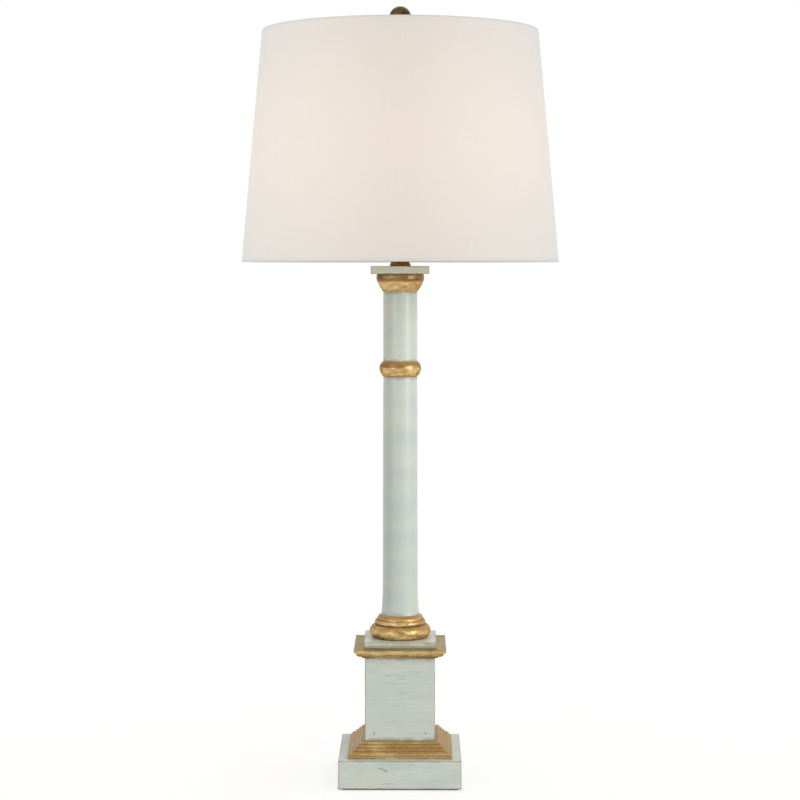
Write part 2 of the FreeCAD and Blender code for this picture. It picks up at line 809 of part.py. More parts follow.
def make_harp_stud():
    """The collar that the wire runs through, and the threaded stud that the finial screws to."""
    body = turned("harp_stud", [
        ("0", "0"),
        ("harp_collar_radius", "0"),
        ("harp_collar_radius", "harp_collar_height"),
        ("harp_stud_radius", "harp_collar_height"),
        ("harp_stud_radius", "harp_collar_height + harp_stud_height"),
        ("0", "harp_collar_height + harp_stud_height"),
    ], level=HARP_SEAT + " - harp_collar_height")
    cross_bore = new_sketch(body, "YZ_Plane", "harp_stud_bore_plan")
    draw_circle(cross_bore, "harp_wire_radius + part_fit", up="harp_collar_height / 2")
    pocket(body, cross_bore, "harp_stud_bore", "4 * harp_collar_radius", both_ways=True)


def make_sleeves():
    for side, sign in (("left", "-"), ("right", "")):
        bore = "harp_wire_radius + sleeve_fit"
        turned("harp_sleeve_" + side, [
            (bore, "0"),
            ("sleeve_radius", "0"),
            ("sleeve_radius", "sleeve_length / 2 - sleeve_bead"),
            ("sleeve_radius + sleeve_bead", "sleeve_length / 2"),
            ("sleeve_radius", "sleeve_length / 2 + sleeve_bead"),
            ("sleeve_radius", "sleeve_length"),
            (bore, "sleeve_length"),
        ], level=ARM_TOP, across=sign + "harp_foot_reach")


# ------------------------------------------------------------------------------------------------
# Lamp socket and its turn switch
# ------------------------------------------------------------------------------------------------
def spindle_hole(body, label, radius, reach):
    """A hole towards the front, level with the switch; the body's foot is at the shell's foot."""
    window = new_sketch(body, "XZ_Plane", label + "_window_plan")
    draw_circle(window, radius, up="insulator_height / 2")
    pocket(body, window, label + "_window", reach, reverse=True)


def make_socket_cap():
    outer = "socket_shell_radius + part_fit + socket_sheet"
    dome_top = "socket_hub_height + socket_cap_dome"
    turned("socket_cap", [
        ("rod_radius + thread_fit", "0"),
        ("socket_hub_radius", "0"),
        ("socket_hub_radius", "socket_hub_height - socket_sheet", "socket_cap_curve"),
        (outer, dome_top),
        (outer, "socket_cap_height"),
        ("socket_shell_radius + part_fit", "socket_cap_height"),
        ("socket_shell_radius + part_fit", dome_top),
        ("socket_shell_radius + part_fit - socket_sheet", dome_top,
         "socket_cap_curve - socket_sheet", "hollow"),
        ("socket_hub_radius", "socket_hub_height"),
        ("rod_radius + thread_fit", "socket_hub_height"),
    ], level=SOCKET_FOOT)


def make_socket_shell():
    inner = "socket_shell_radius - socket_sheet"
    lip_foot = "socket_shell_height - 2 * socket_lip"
    body = turned("socket_shell", [
        (inner, "0"),
        ("socket_shell_radius", "0"),
        ("socket_shell_radius", lip_foot),
        ("socket_shell_radius + socket_lip", lip_foot + " + socket_lip"),
        ("socket_shell_radius", "socket_shell_height"),
        (inner, "socket_shell_height"),
    ], level=SHELL_FOOT)
    spindle_hole(body, "socket_shell", "spindle_radius + spindle_window", "2 * socket_shell_radius")


def make_socket_liner():
    outer = "socket_shell_radius - socket_sheet - part_fit"
    body = washer("socket_liner", outer + " - liner_paper", outer,
                  "socket_shell_height - liner_inset", level=SHELL_FOOT)
    spindle_hole(body, "socket_liner", "spindle_radius + spindle_window", "2 * socket_shell_radius")


def make_insulator():
    """The moulded core that carries the switch, the contacts and the terminal screws."""
    outer = "socket_shell_radius - socket_sheet - part_fit - liner_paper - insulator_fit"
    body = new_body("socket_insulator", level=SHELL_FOOT)
    plan = new_sketch(body, "XY_Plane", "socket_insulator_plan")
    draw_circle(plan, outer)
    pad(body, plan, "insulator_height", "socket_insulator_core")
    flats = new_sketch(body, "XZ_Plane", "socket_insulator_flats")
    draw(flats, [
        ("insulator_flat", "0"),
        ("socket_shell_radius", "0"),
        ("socket_shell_radius", "insulator_flat_height"),
        ("insulator_flat", "insulator_flat_height"),
    ])
    flat = pocket(body, flats, "socket_insulator_flat", "4 * socket_shell_radius", both_ways=True)
    screw_plan = new_sketch(body, "YZ_Plane", "socket_insulator_screw_plan")
    draw_circle(screw_plan, "terminal_shank_radius + part_fit", up="insulator_flat_height / 2")
    pocket(body, screw_plan, "socket_insulator_screw_bores", "2 * insulator_flat", both_ways=True)
    mirror_across(body, [flat], "socket_insulator_both_flats")
    spindle_hole(body, "socket_insulator", "spindle_radius + spindle_fit", "socket_shell_radius")


def make_terminal_screws():
    """Two screws, one on each flat of the core, as one group of separate solids."""
    screws = []
    for side, sign in (("left", "-1"), ("right", "1")):
        parts = []
        for name, radius, length, start in (
                ("head", "terminal_head_radius", "terminal_head_height", "insulator_flat"),
                ("shank", "terminal_shank_radius", "terminal_shank_length",
                 "insulator_flat - terminal_shank_length")):
            rod = doc.addObject("Part::Cylinder", "terminal_%s_%s" % (name, side))
            rod.setExpression("Radius", cells(radius))
            rod.setExpression("Height", cells(length))
            turn = FreeCAD.Rotation(FreeCAD.Vector(0, 1, 0), QUARTER_TURN * int(sign))
            rod.Placement = FreeCAD.Placement(FreeCAD.Vector(), turn)
            rod.setExpression("Placement.Base.x", cells("%s * (%s)" % (sign, start)))
            rod.setExpression("Placement.Base.z", cells("insulator_flat_height / 2"))
            parts.append(rod)
        screw = doc.addObject("Part::MultiFuse", "terminal_screw_" + side)
        screw.Shapes = parts
        screws.append(screw)
    group = doc.addObject("Part::Compound", "terminal_screws")
    group.Label = "terminal_screws"
    group.Links = screws
    place(group, SHELL_FOOT)
    pieces.append(group)


def make_switch():
    """The spindle lies across the core and points to the front, with its knob outside the shell."""
    forward = (FreeCAD.Vector(1, 0, 0), QUARTER_TURN)
    turned("switch_spindle", [
        ("0", "0"),
        ("spindle_radius", "0"),
        ("spindle_radius", "spindle_length"),
        ("0", "spindle_length"),
    ], level=SWITCH_AXIS, back="-spindle_inner_end", turn=forward)
    knob_face = "socket_shell_radius + knob_gap"
    socket_depth = "spindle_inner_end + spindle_length - (%s) + part_fit" % knob_face
    turned("switch_knob", [
        ("spindle_radius + part_fit", "0"),
        ("knob_radius", "0"),
        ("knob_radius", "knob_length / 2"),
        ("knob_tip_radius", "knob_length - knob_nose"),
        ("knob_tip_radius - knob_nose", "knob_length"),
        ("0", "knob_length"),
        ("0", socket_depth),
        ("spindle_radius + part_fit", socket_depth),
    ], level=SWITCH_AXIS, back="-(%s)" % knob_face, turn=forward)


def make_socket():
    make_socket_cap()
    make_socket_shell()
    make_socket_liner()
    make_insulator()
    make_terminal_screws()
    washer("socket_screw_shell", "screw_shell_radius - screw_shell_wall", "screw_shell_radius",
           "screw_shell_height", level=INSULATOR_TOP)
    turned("centre_contact", [
        ("0", "0"),
        ("contact_radius", "0"),
        ("contact_radius", "contact_thickness"),
        ("0", "contact_thickness"),
    ], level=INSULATOR_TOP)
    make_switch()


# ------------------------------------------------------------------------------------------------
# Lamp bulb
# ------------------------------------------------------------------------------------------------
def make_bulb():
    cone_top = "bulb_tip_height + bulb_cap_cone_height"
    cap_top = "bulb_tip_height + bulb_cap_height"
    neck_top = "bulb_neck_height"
    shoulder = "bulb_length - bulb_radius - sqrt(bulb_radius ^ 2 - bulb_shoulder_radius ^ 2)"
    turned("bulb_contact", [
        ("0", "0"),
        ("bulb_tip_radius", "0"),
        ("bulb_tip_radius", "bulb_tip_height"),
        ("0", "bulb_tip_height"),
    ], level=BULB_TIP)
    turned("bulb_cap", [
        ("0", "bulb_tip_height"),
        ("bulb_cap_cone_radius", "bulb_tip_height"),
        ("bulb_cap_radius", cone_top),
        ("bulb_cap_radius", cap_top),
        ("0", cap_top),
    ], level=BULB_TIP)
    turned("bulb_glass", [
        ("0", cap_top),
        ("bulb_cap_radius", cap_top),
        ("bulb_neck_radius", neck_top, "bulb_neck_curve", "hollow"),
        ("bulb_shoulder_radius", shoulder, "bulb_radius"),
        ("0", "bulb_length"),
    ], level=BULB_TIP)


# ------------------------------------------------------------------------------------------------
# Shade: spider, rings, liner, linen and hems
# ------------------------------------------------------------------------------------------------
def slope(up, inset="0"):
    """Outside radius of the tapered wall at a height over the shade's foot, less an inset."""
    taper = "(shade_foot_radius - shade_crown_radius) / shade_height"
    return "shade_foot_radius - (%s) * %s - (%s)" % (up, taper, inset)


def shade_wall(label, outside, thickness):
    """One layer of the wall, between the two hems."""
    foot, head = "hem_thickness", "shade_height - hem_thickness"
    inside = "%s + %s" % (outside, thickness)
    turned(label, [
        (slope(foot, inside), foot),
        (slope(foot, outside), foot),
        (slope(head, outside), head),
        (slope(head, inside), head),
    ], level=SHADE_FOOT)


HEM_DEPTH = "hem_thickness + fabric_thickness + liner_thickness + 2 * ring_wire_radius + ring_wire_fit"


def shade_hem(label, edge, inward):
    """A binding folded over the edge of the wall and the ring; inward leads from the edge into the shade."""
    web = "%s %s hem_thickness" % (edge, inward)
    skirt = "%s %s hem_width" % (edge, inward)
    corners = [
        (slope(edge), edge),
        (slope(skirt), skirt),
        (slope(skirt, "hem_thickness"), skirt),
        (slope(web, "hem_thickness"), web),
        (slope(web, HEM_DEPTH), web),
        (slope(skirt, HEM_DEPTH), skirt),
        (slope(skirt, HEM_DEPTH + " + hem_thickness"), skirt),
        (slope(edge, HEM_DEPTH + " + hem_thickness"), edge),
    ]
    turned(label, corners, level=SHADE_FOOT)


def ring_radius(up):
    return slope(up, "hem_thickness + fabric_thickness + liner_thickness + ring_wire_fit + ring_wire_radius")


def wire_ring(label, up):
    ring = doc.addObject("Part::Torus", label)
    ring.Label = label
    ring.setExpression("Radius1", cells(ring_radius(up)))
    ring.setExpression("Radius2", cells("ring_wire_radius"))
    place(ring, "%s + %s" % (SHADE_FOOT, up))
    pieces.append(ring)


def make_spider():
    """A hub that sits on the harp, and three wire arms that run out and bend up to the top ring."""
    body = new_body("shade_spider", level=HARP_SEAT, turn=(FreeCAD.Vector(0, 0, 1), QUARTER_TURN))
    ring_level = "spider_drop - hem_thickness - ring_wire_radius"
    reach = ring_radius("shade_height - hem_thickness - ring_wire_radius")
    arm_level = "hub_thickness / 2"
    path = new_sketch(body, "XZ_Plane", "shade_spider_arm_path")
    draw(path, [
        ("arm_start", arm_level),
        ("%s - arm_bend_radius" % reach, arm_level, "arm_bend_radius"),
        (reach, arm_level + " + arm_bend_radius"),
        (reach, ring_level + " - ring_wire_radius"),
    ], closed=False)
    wire = new_sketch(body, "YZ_Plane", "shade_spider_arm_round")
    draw_circle(wire, "arm_wire_radius", up=arm_level)
    wire.setExpression("AttachmentOffset.Base.z", cells("arm_start"))
    arm = pipe(body, path, wire, "shade_spider_arm")
    arms = body.newObject("PartDesign::PolarPattern", "shade_spider_arms")
    arms.Originals = [arm]
    arms.Axis = (origin_feature(body, "Z_Axis"), [""])
    arms.Angle = 360
    arms.Occurrences = SPIDER_ARMS
    body.Tip = arms
    hub = new_sketch(body, "XY_Plane", "shade_spider_hub_plan")
    draw_circle(hub, "hub_radius")
    pad(body, hub, "hub_thickness", "shade_spider_hub")
    hole = new_sketch(body, "XY_Plane", "shade_spider_hole_plan")
    draw_circle(hole, "hub_hole_radius")
    pocket(body, hole, "shade_spider_hole", "hub_thickness", reverse=True)


def make_shade():
    make_spider()
    wire_ring("shade_top_ring", "shade_height - hem_thickness - ring_wire_radius")
    wire_ring("shade_bottom_ring", "hem_thickness + ring_wire_radius")
    shade_wall("shade_fabric", "hem_thickness", "fabric_thickness")
    shade_wall("shade_liner", "hem_thickness + fabric_thickness", "liner_thickness")
    shade_hem("shade_top_hem", "shade_height", "-")
    shade_hem("shade_bottom_hem", "0", "+")


# ------------------------------------------------------------------------------------------------
# Finial
# ------------------------------------------------------------------------------------------------
def make_finial():
    bore = "harp_stud_radius + thread_fit"
    bore_roof = "harp_stud_height - hub_thickness + finial_bore_spare"
    bead_top = "finial_bead_foot + finial_bead_height"
    ball_foot = ("finial_height - finial_ball_radius"
                 " - sqrt(finial_ball_radius ^ 2 - finial_ball_neck_radius ^ 2)")
    turned("finial", [
        (bore, "0"),
        ("finial_foot_radius", "0"),
        ("finial_foot_radius", "finial_foot_height", "finial_cove_radius", "hollow"),
        ("finial_neck_radius", "finial_cove_top"),
        ("finial_neck_radius", "finial_bead_foot", "finial_bead_radius"),
        ("finial_neck_radius", bead_top),
        ("finial_ball_neck_radius", ball_foot, "finial_ball_radius"),
        ("0", "finial_height"),
        ("0", bore_roof),
        (bore, bore_roof),
    ], level=FINIAL_FOOT)


# ------------------------------------------------------------------------------------------------
# Build, check and write
# ------------------------------------------------------------------------------------------------
make_felt()
make_block()
make_cord_bushing()
make_pedestal()
make_column()
make_rod_set()
make_saddle()
make_harp_wire()
make_harp_stud()
make_sleeves()
make_socket()
make_bulb()
make_shade()
make_finial()
doc.recompute()

for thing in doc.Objects:
    if "Invalid" in thing.State or "Error" in thing.State:
        raise ValueError("%s failed: %s" % (thing.Name, thing.State))
for piece in pieces:
    if piece.Shape.isNull() or not piece.Shape.isValid():
        raise ValueError(piece.Label + " has no valid shape")
    box = piece.Shape.optimalBoundingBox(False, False)
    print("%-24s solids %d  volume %12.1f  z %8.2f to %8.2f" % (
        piece.Label, len(piece.Shape.Solids), piece.Shape.Volume, box.ZMin, box.ZMax))
    piece.Shape.exportStep("parts/%s.step" % piece.Label)
print("pieces:", len(pieces))
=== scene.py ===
# %% [markdown]
# # A painted and gilded column table lamp
# The real lamp is turned and moulded wood, painted a pale grey green and gilded on its mouldings.
# A stiff linen shade hangs on a wire harp over it. The CAD frame already holds every part in its
# place and at its real size, so this lesson only dresses it. Shapes that the eye rests on are made
# again with softer, less regular surfaces, and every part gets the finish of its own material.

# %% Load the frame
import json
import math

import bmesh
import bpy
from mathutils import Matrix, Vector


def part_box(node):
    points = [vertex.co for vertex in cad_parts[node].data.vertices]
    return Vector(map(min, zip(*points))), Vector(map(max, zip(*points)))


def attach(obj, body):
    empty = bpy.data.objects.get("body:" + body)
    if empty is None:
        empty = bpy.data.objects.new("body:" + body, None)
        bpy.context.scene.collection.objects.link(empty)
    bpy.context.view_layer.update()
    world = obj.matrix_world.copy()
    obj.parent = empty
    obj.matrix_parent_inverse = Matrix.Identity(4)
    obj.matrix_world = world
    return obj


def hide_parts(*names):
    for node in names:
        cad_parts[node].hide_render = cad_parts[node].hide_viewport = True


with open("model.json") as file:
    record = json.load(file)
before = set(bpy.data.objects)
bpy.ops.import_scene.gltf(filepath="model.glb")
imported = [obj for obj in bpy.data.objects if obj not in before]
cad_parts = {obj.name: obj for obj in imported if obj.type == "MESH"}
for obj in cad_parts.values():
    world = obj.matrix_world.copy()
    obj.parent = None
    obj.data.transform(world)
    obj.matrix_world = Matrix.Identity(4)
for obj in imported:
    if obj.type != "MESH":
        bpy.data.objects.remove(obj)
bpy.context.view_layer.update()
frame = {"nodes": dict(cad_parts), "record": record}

# %% [markdown]
# ## Camera
# The photograph was taken from a little under the foot of the shade, with a long lens, so the lamp
# shows hardly any convergence. The lens, the height and the tilt were fitted to the corners of the
# block, the mouldings and the shade. A small shift keeps the base and the finial both in the frame.

# %% Camera
TILT, TURN = 2.086, 0.4685     # degrees down, and degrees to the left
lens_data = bpy.data.cameras.new("studio_camera")
lens_data.sensor_width = 36
lens_data.lens = 93.86
lens_data.shift_y = -0.07
camera = bpy.data.objects.new("studio_camera", lens_data)
camera.location = (0.0195, -2.4194, 0.5932)
camera.rotation_euler = (math.radians(90 - TILT), 0, math.radians(TURN))
bpy.context.collection.objects.link(camera)
bpy.context.scene.camera = camera
bpy.context.scene.view_settings.view_transform = "Standard"
print("camera:", lens_data.lens, "mm lens,", -camera.location.y, "m in front of the lamp")

# %% [markdown]
# ## Helpers for nodes and colours
# Colours are written as the sRGB hex that a paint chart would give, and turned to linear once.
# One small function adds a node, for shader trees and geometry trees alike, and it sets or links
# the inputs by name or in order. In a Mix of colours, inputs 0, 6 and 7 are the amount and the two
# colours.


# %% Helpers for nodes and colours
MATH, VECTORS, RANGE, MIX, NOISE = ["ShaderNode" + kind for kind in (
    "Math", "VectorMath", "MapRange", "Mix", "TexNoise")]


def linear(code):
    """The linear colour of an sRGB hex code."""
    parts = [int(code[i:i + 2], 16) / 255 for i in (1, 3, 5)]
    return [c / 12.92 if c <= 0.04045 else ((c + 0.055) / 1.055) ** 2.4 for c in parts] + [1]


def set_inputs(node, inputs):
    """Sets inputs, by name or in order, to values or links. A node stands for its own result."""
    for key, value in inputs.items() if isinstance(inputs, dict) else enumerate(inputs):
        if hasattr(value, "outputs"):
            value = next(socket for socket in value.outputs if socket.enabled)
        if isinstance(value, bpy.types.NodeSocket):
            node.id_data.links.new(value, node.inputs[key])
        else:
            node.inputs[key].default_value = value


def add_node(tree, kind, inputs=(), **properties):
    """A new node, with its properties set and its inputs set or linked."""
    node = tree.nodes.new(kind)
    for name, value in properties.items():
        setattr(node, name, value)
    set_inputs(node, inputs)
    return node


def new_material(name):
    """An empty material and its tree, with a Principled shader already joined to the output."""
    material = bpy.data.materials.new(name)
    material.use_nodes = True
    tree = material.node_tree
    tree.nodes.clear()
    shader = add_node(tree, "ShaderNodeBsdfPrincipled")
    add_node(tree, "ShaderNodeOutputMaterial", {"Surface": shader})
    return material, tree, shader


# %% [markdown]
# ## Light, floor and background
# A white studio wraps the lamp in soft light. A tall soft box on the right draws the bright line
# down the column, and a weaker one on the left draws a second, fainter line. As in a real studio,
# those two are kept off the shade, which has its own even light from both sides, and a dark curtain
# behind the camera gives the leaf and the brass something to contrast with. Each soft box therefore
# names the parts that it lights.

# %% World
def background_rays(tree):
    """1 for rays from the camera, a mirror or clear glass, and 0 for light that falls on things."""
    ray = add_node(tree, "ShaderNodeLightPath").outputs
    mirrored = add_node(tree, MATH,
                        [ray["Is Glossy Ray"], ray["Is Transmission Ray"]], operation="MAXIMUM")
    return add_node(tree, MATH, [ray["Is Camera Ray"], mirrored], operation="MAXIMUM")


WORLD_LIGHT = 0.62     # strength of the world's light on things; as a background it is 1
world = bpy.data.worlds.new("white_studio")
world.use_nodes = True
sky = world.node_tree
sky.nodes.clear()
strength = add_node(sky, RANGE,
                    {"Value": background_rays(sky), "To Min": WORLD_LIGHT, "To Max": 1.0})
backdrop = add_node(sky, "ShaderNodeBackground", {"Strength": strength, "Color": linear("#ffffff")})
add_node(sky, "ShaderNodeOutputWorld", {"Surface": backdrop})
bpy.context.scene.world = world
print("world light:", WORLD_LIGHT)


# %% Soft boxes
AIM_LEVEL = 0.45     # metres above the floor: where every soft box points
shade_set = bpy.data.collections.new("lit_as_shade")
stand_set = bpy.data.collections.new("lit_as_stand")


def soft_box(name, azimuth, distance, height, size, watts, colour, lit):
    """A tall soft light that stands round the lamp, faces it, and lights only one set of parts."""
    data = bpy.data.lights.new(name, "AREA")
    data.color = linear(colour)[:3]
    data.shape = "RECTANGLE"
    data.size, data.size_y = size
    data.energy = watts
    lamp = bpy.data.objects.new(name, data)
    turn = math.radians(azimuth)
    lamp.location = (distance * math.sin(turn), -distance * math.cos(turn), height)
    aim = Vector((0, 0, AIM_LEVEL)) - lamp.location
    lamp.rotation_euler = aim.to_track_quat("-Z", "Y").to_euler()
    lamp.light_linking.receiver_collection = lit
    bpy.context.collection.objects.link(lamp)


soft_box("key_right", 52, 2.2, 1.0, (0.34, 1.1), 27, "#ffffff", stand_set)
soft_box("fill_left", -36, 2.4, 0.9, (0.22, 1.1), 9, "#ffffff", stand_set)
soft_box("shade_front", 0, 2.6, 0.9, (1.2, 0.8), 23, "#fff8f0", shade_set)
soft_box("shade_left", -88, 2.2, 0.7, (0.8, 0.9), 12.5, "#f2f7ff", shade_set)
soft_box("shade_right", 88, 2.2, 0.7, (0.8, 0.9), 13, "#f2f7ff", shade_set)
print("soft boxes:", len(bpy.data.lights))


# %% Curtain and floor
def stage_sheet(name, material_name, corners, colour, roughness):
    """A flat sheet of the studio itself, with the tree and the shader of its material."""
    mesh = bpy.data.meshes.new(name)
    mesh.from_pydata(corners, [], [(0, 1, 2, 3)])
    sheet = bpy.data.objects.new(name, mesh)
    bpy.context.collection.objects.link(sheet)
    material, tree, shader = new_material(material_name)
    set_inputs(shader, {"Base Color": linear(colour), "Roughness": roughness})
    mesh.materials.append(material)
    return sheet, tree, shader


LEFT, RIGHT, FOOT, TOP, BEHIND = -1.3, 1.0, 0.4, 2.2, -3.4     # the curtain, in metres
FLOOR_REACH = 6        # metres from the lamp to each side of the floor
FLOOR_LIFT = 0.44      # how much whiter the floor looks than its paper, as a background

curtain, tree, shader = stage_sheet(
    "dark_curtain", "dark_studio_curtain",
    [(x, BEHIND, z) for x, z in ((LEFT, TOP), (RIGHT, TOP), (RIGHT, FOOT), (LEFT, FOOT))],
    "#3c3b39", 1.0)
curtain.visible_camera = False
floor, tree, shader = stage_sheet(
    "floor", "white_seamless_paper",
    [(x * FLOOR_REACH, y * FLOOR_REACH, 0) for x, y in ((-1, -1), (1, -1), (1, 1), (-1, 1))],
    "#f4f4f3", 0.9)
lift = add_node(tree, MATH, [background_rays(tree), FLOOR_LIFT], operation="MULTIPLY")
set_inputs(shader, {"Emission Color": linear("#ffffff"), "Emission Strength": lift})
print("studio sheets:", curtain.name, "and", floor.name)

# %% [markdown]
# ## Painted wood
# Beech, painted with an egg-shell grey green over a warm ground, brushed on in level strokes and
# rubbed back by hand. The strokes run round the column and across the flat faces, so one pattern
# that is long in plan and fine in height serves both. On the column the brush was held against the
# turning wood, which evens the strokes out, so within 26 mm of the axis they are fainter. Umber
# glaze stays in some strokes, a bluish coat shows in others, and the paint is worn to a warm brown
# along the arrises. The mesh carries how far each point is from its nearest arris and quirk, in
# millimetres.
# In the quirks and where parts meet, a khaki glaze settles, and it also paints the shade that falls
# there.

# %% Brush strokes
painted_wood, tree, shader = new_material("brushed_eggshell_paint_on_beech")
place = add_node(tree, "ShaderNodeTexCoord").outputs["Object"]
strokes = []      # bristles, single strokes of glaze, and the coats under them
for grains_per_metre, start, detail, roughness in (
        ((26, 26, 330), (0, 0, 0), 4, 0.6), ((60, 60, 330), (3, 1, 7), 2, 0.5),
        ((13, 13, 42), (5, 2, 0), 3, 0.55)):
    run = add_node(tree, "ShaderNodeMapping",
                   {"Vector": place, "Scale": grains_per_metre, "Location": start})
    strokes.append(add_node(tree, NOISE,
                            {"Vector": run, "Scale": 1.0, "Detail": detail,
                             "Roughness": roughness}))
bristle, stroke, coat = strokes

arris = add_node(tree, "ShaderNodeAttribute", attribute_name="arris_mm").outputs["Fac"]
quirk = add_node(tree, "ShaderNodeAttribute", attribute_name="quirk_mm").outputs["Fac"]
wear_noise = add_node(tree, NOISE, {"Vector": place, "Scale": 90, "Detail": 4})
grit = add_node(tree, NOISE, {"Vector": place, "Scale": 1100, "Detail": 2})
print("noises of the paint:", len(tree.nodes), "nodes")

# %% Where each coat shows
level_place = add_node(tree, VECTORS, [place, (1, 1, 0)], operation="MULTIPLY")
off_axis = add_node(tree, VECTORS, [level_place], operation="LENGTH")
pressed = add_node(tree, RANGE,
                   {"Value": off_axis, "From Min": 0.026, "From Max": 0.030, "To Min": 0.3})
most_streak = add_node(tree, MATH, [pressed, 0.45], operation="MULTIPLY")
most_caught = add_node(tree, MATH, [pressed, 0.6], operation="MULTIPLY")
# what is read, the span of it that counts, and the least and most that it then gives
cool, streaky, caught, gloss, ragged, wear_reach, paint_glaze_and_shade_reach = [
    add_node(tree, RANGE,
             {"Value": read, "From Min": low, "From Max": high, "To Min": least, "To Max": most})
    for read, low, high, least, most in (
        (coat, 0.36, 0.60, 0, 1), (bristle, 0.42, 0.70, 0, most_streak),
        (stroke, 0.62, 0.80, 0, most_caught), (bristle, 0, 1, 0.33, 0.39),
        (grit, 0.35, 0.65, 0.7, 1.5), (wear_noise, 0.35, 0.65, 0.5, 1.7),
        (wear_noise, 0.35, 0.65, 0.8, 5.5))]
rubbed = add_node(tree, RANGE,
                  {"Value": arris, "From Max": wear_reach, "To Min": 1.0, "To Max": 0.0})
# Khaki glaze in the quirks and seams, which also paints the shade where parts meet.
paint_glaze_and_shade = add_node(tree, RANGE,
                   {"Value": quirk, "From Max": paint_glaze_and_shade_reach, "To Min": 0.8, "To Max": 0.0})
print("coats of the paint:", len(tree.nodes), "nodes")

# %% Marks
# Filled brad holes, chips and a curved scratch: middle and half size in mm, with a ragged edge.
MARKS = [((-29.5, -40.3, 58.7), (0.8, 1, 1.7)), ((29.1, -40.3, 58.9), (1.0, 1, 1.5)),
         ((-70.2, -70.2, 2.4), (1.9, 1.9, 1.2)), ((69.8, -70, 33.2), (1.0, 1, 0.7))]
SCRATCH = ((-23.0, 25.0), (-21.2, 24.8), (-19.4, 24.3), (-17.7, 23.6), (-16.2, 22.7), (-15, 21.8))
MARKS += [((across, -70, up), (1.3, 1, 0.5)) for across, up in SCRATCH]
MARK_DEPTH = 0.85     # how far a mark covers the paint
dented = None
for middle, half in MARKS:
    about = add_node(tree, VECTORS, [place, [c / 1000 for c in middle]], operation="SUBTRACT")
    scaled = add_node(tree, VECTORS, [about, [c / 1000 for c in half]], operation="DIVIDE")
    reach = add_node(tree, VECTORS, [scaled], operation="LENGTH")
    edge = add_node(tree, MATH, [reach, ragged], operation="MULTIPLY")
    mark = add_node(tree, RANGE,
                    {"Value": edge, "From Min": 0.55, "From Max": 1.25, "To Min": 1.0,
                     "To Max": 0.0})
    if dented:
        mark = add_node(tree, MATH, [dented, mark], operation="MAXIMUM")
    dented = mark
marked = add_node(tree, MATH, [dented, MARK_DEPTH], operation="MULTIPLY")
print("marks:", len(MARKS))

# %% Colour, gloss and relief of the paint
paint = add_node(tree, MIX, {0: cool, 6: linear("#cbd0c4"), 7: linear("#bdc9c2")}, data_type="RGBA")
# One of these colours is the glaze in quirks and seams, which also paints their shade.
for amount, code in ((streaky, "#d8ded6"), (caught, "#a5a894"), (rubbed, "#8f784e"),
                     (paint_glaze_and_shade, "#969070"), (marked, "#4f4a3c")):
    paint = add_node(tree, MIX, {0: amount, 6: paint, 7: linear(code)}, data_type="RGBA")
ridges = add_node(tree, MATH, [bristle, caught], operation="ADD")
depth = add_node(tree, MATH, [pressed, 0.35], operation="MULTIPLY")
relief = add_node(tree, "ShaderNodeBump", {"Height": ridges, "Strength": depth, "Distance": 0.0002})
set_inputs(shader, {"Base Color": paint, "Roughness": gloss, "Normal": relief})
print("painted wood:", len(tree.nodes), "nodes")

# %% [markdown]
# ## Gilding
# Metal leaf laid over red-brown bole and toned with an umber glaze. The leaf is thin, so bole shows
# through in flecks. The glaze was wiped off by hand: it stays dark in some lengths of the quirks,
# where it also paints the shade that falls in them, and it leaves the high edges bright. What faces
# up is painted browner and duller, and khaki where it lies level: painted shade under the lampshade.
# Small chips go down to the white gesso. Lumps in the gesso break the highlights up, which is what
# makes it look like leaf.

# %% Leaf and its noises
gilding, tree, shader = new_material("rubbed_metal_leaf_on_bole")
place = add_node(tree, "ShaderNodeTexCoord").outputs["Object"]
lay = add_node(tree, "ShaderNodeMapping", {"Vector": place, "Scale": (0.62, 0.62, 1.9)})
leaf = add_node(tree, NOISE, {"Vector": lay, "Scale": 150, "Detail": 5, "Roughness": 0.62})
cloud = add_node(tree, NOISE, {"Vector": lay, "Scale": 42, "Detail": 3})
fleck = add_node(tree, NOISE, {"Vector": lay, "Scale": 520, "Detail": 3, "Roughness": 0.7})
slow = add_node(tree, NOISE, {"Vector": place, "Scale": 16, "Detail": 2})

arris = add_node(tree, "ShaderNodeAttribute", attribute_name="arris_mm").outputs["Fac"]
quirk = add_node(tree, "ShaderNodeAttribute", attribute_name="quirk_mm").outputs["Fac"]
facing = add_node(tree, "ShaderNodeNewGeometry").outputs["Normal"]
upward = add_node(tree, "ShaderNodeSeparateXYZ", [facing]).outputs["Z"]
print("noises of the gilding:", len(tree.nodes), "nodes")

# %% Where each layer shows
# what is read, the span of it that counts, and the least and most that it then gives
tone, redder, bare, thin, gilt_glaze_and_shade_amount, chipped, rubbed, gilt_glaze_and_shade_reach, gilt_level_khaki_shade, burnish = [
    add_node(tree, RANGE,
             {"Value": read, "From Min": low, "From Max": high, "To Min": least, "To Max": most})
    for read, low, high, least, most in (
        (leaf, 0.36, 0.64, 0, 1), (slow, 0.42, 0.62, 0, 0.4), (cloud, 0.50, 0.66, 0, 0.7),
        (fleck, 0.42, 0.60, 0, 1), (cloud, 0.38, 0.62, 0.4, 1), (fleck, 0.66, 0.72, 0, 1),
        (arris, 0.2, 1.3, 0.6, 0), (leaf, 0.35, 0.65, 0.7, 2.3), (upward, 0.85, 0.97, 0, 0.8),
        (leaf, 0.3, 0.7, 0.2, 0.44))]
showing = add_node(tree, MATH, [bare, thin], operation="MULTIPLY")
# The glaze in the quirks also paints the shade that falls in them.
gilt_quirk_glaze_and_shade = add_node(tree, RANGE,
                 {"Value": quirk, "From Max": gilt_glaze_and_shade_reach, "To Min": gilt_glaze_and_shade_amount, "To Max": 0.0})
# Browner and duller the more it faces up: painted shade under the lampshade.
gilt_up_facing_shade = add_node(tree, RANGE,
                  {"Value": upward, "From Min": -0.1, "From Max": 0.8, "To Max": gilt_glaze_and_shade_amount})
print("layers of the gilding:", len(tree.nodes), "nodes")

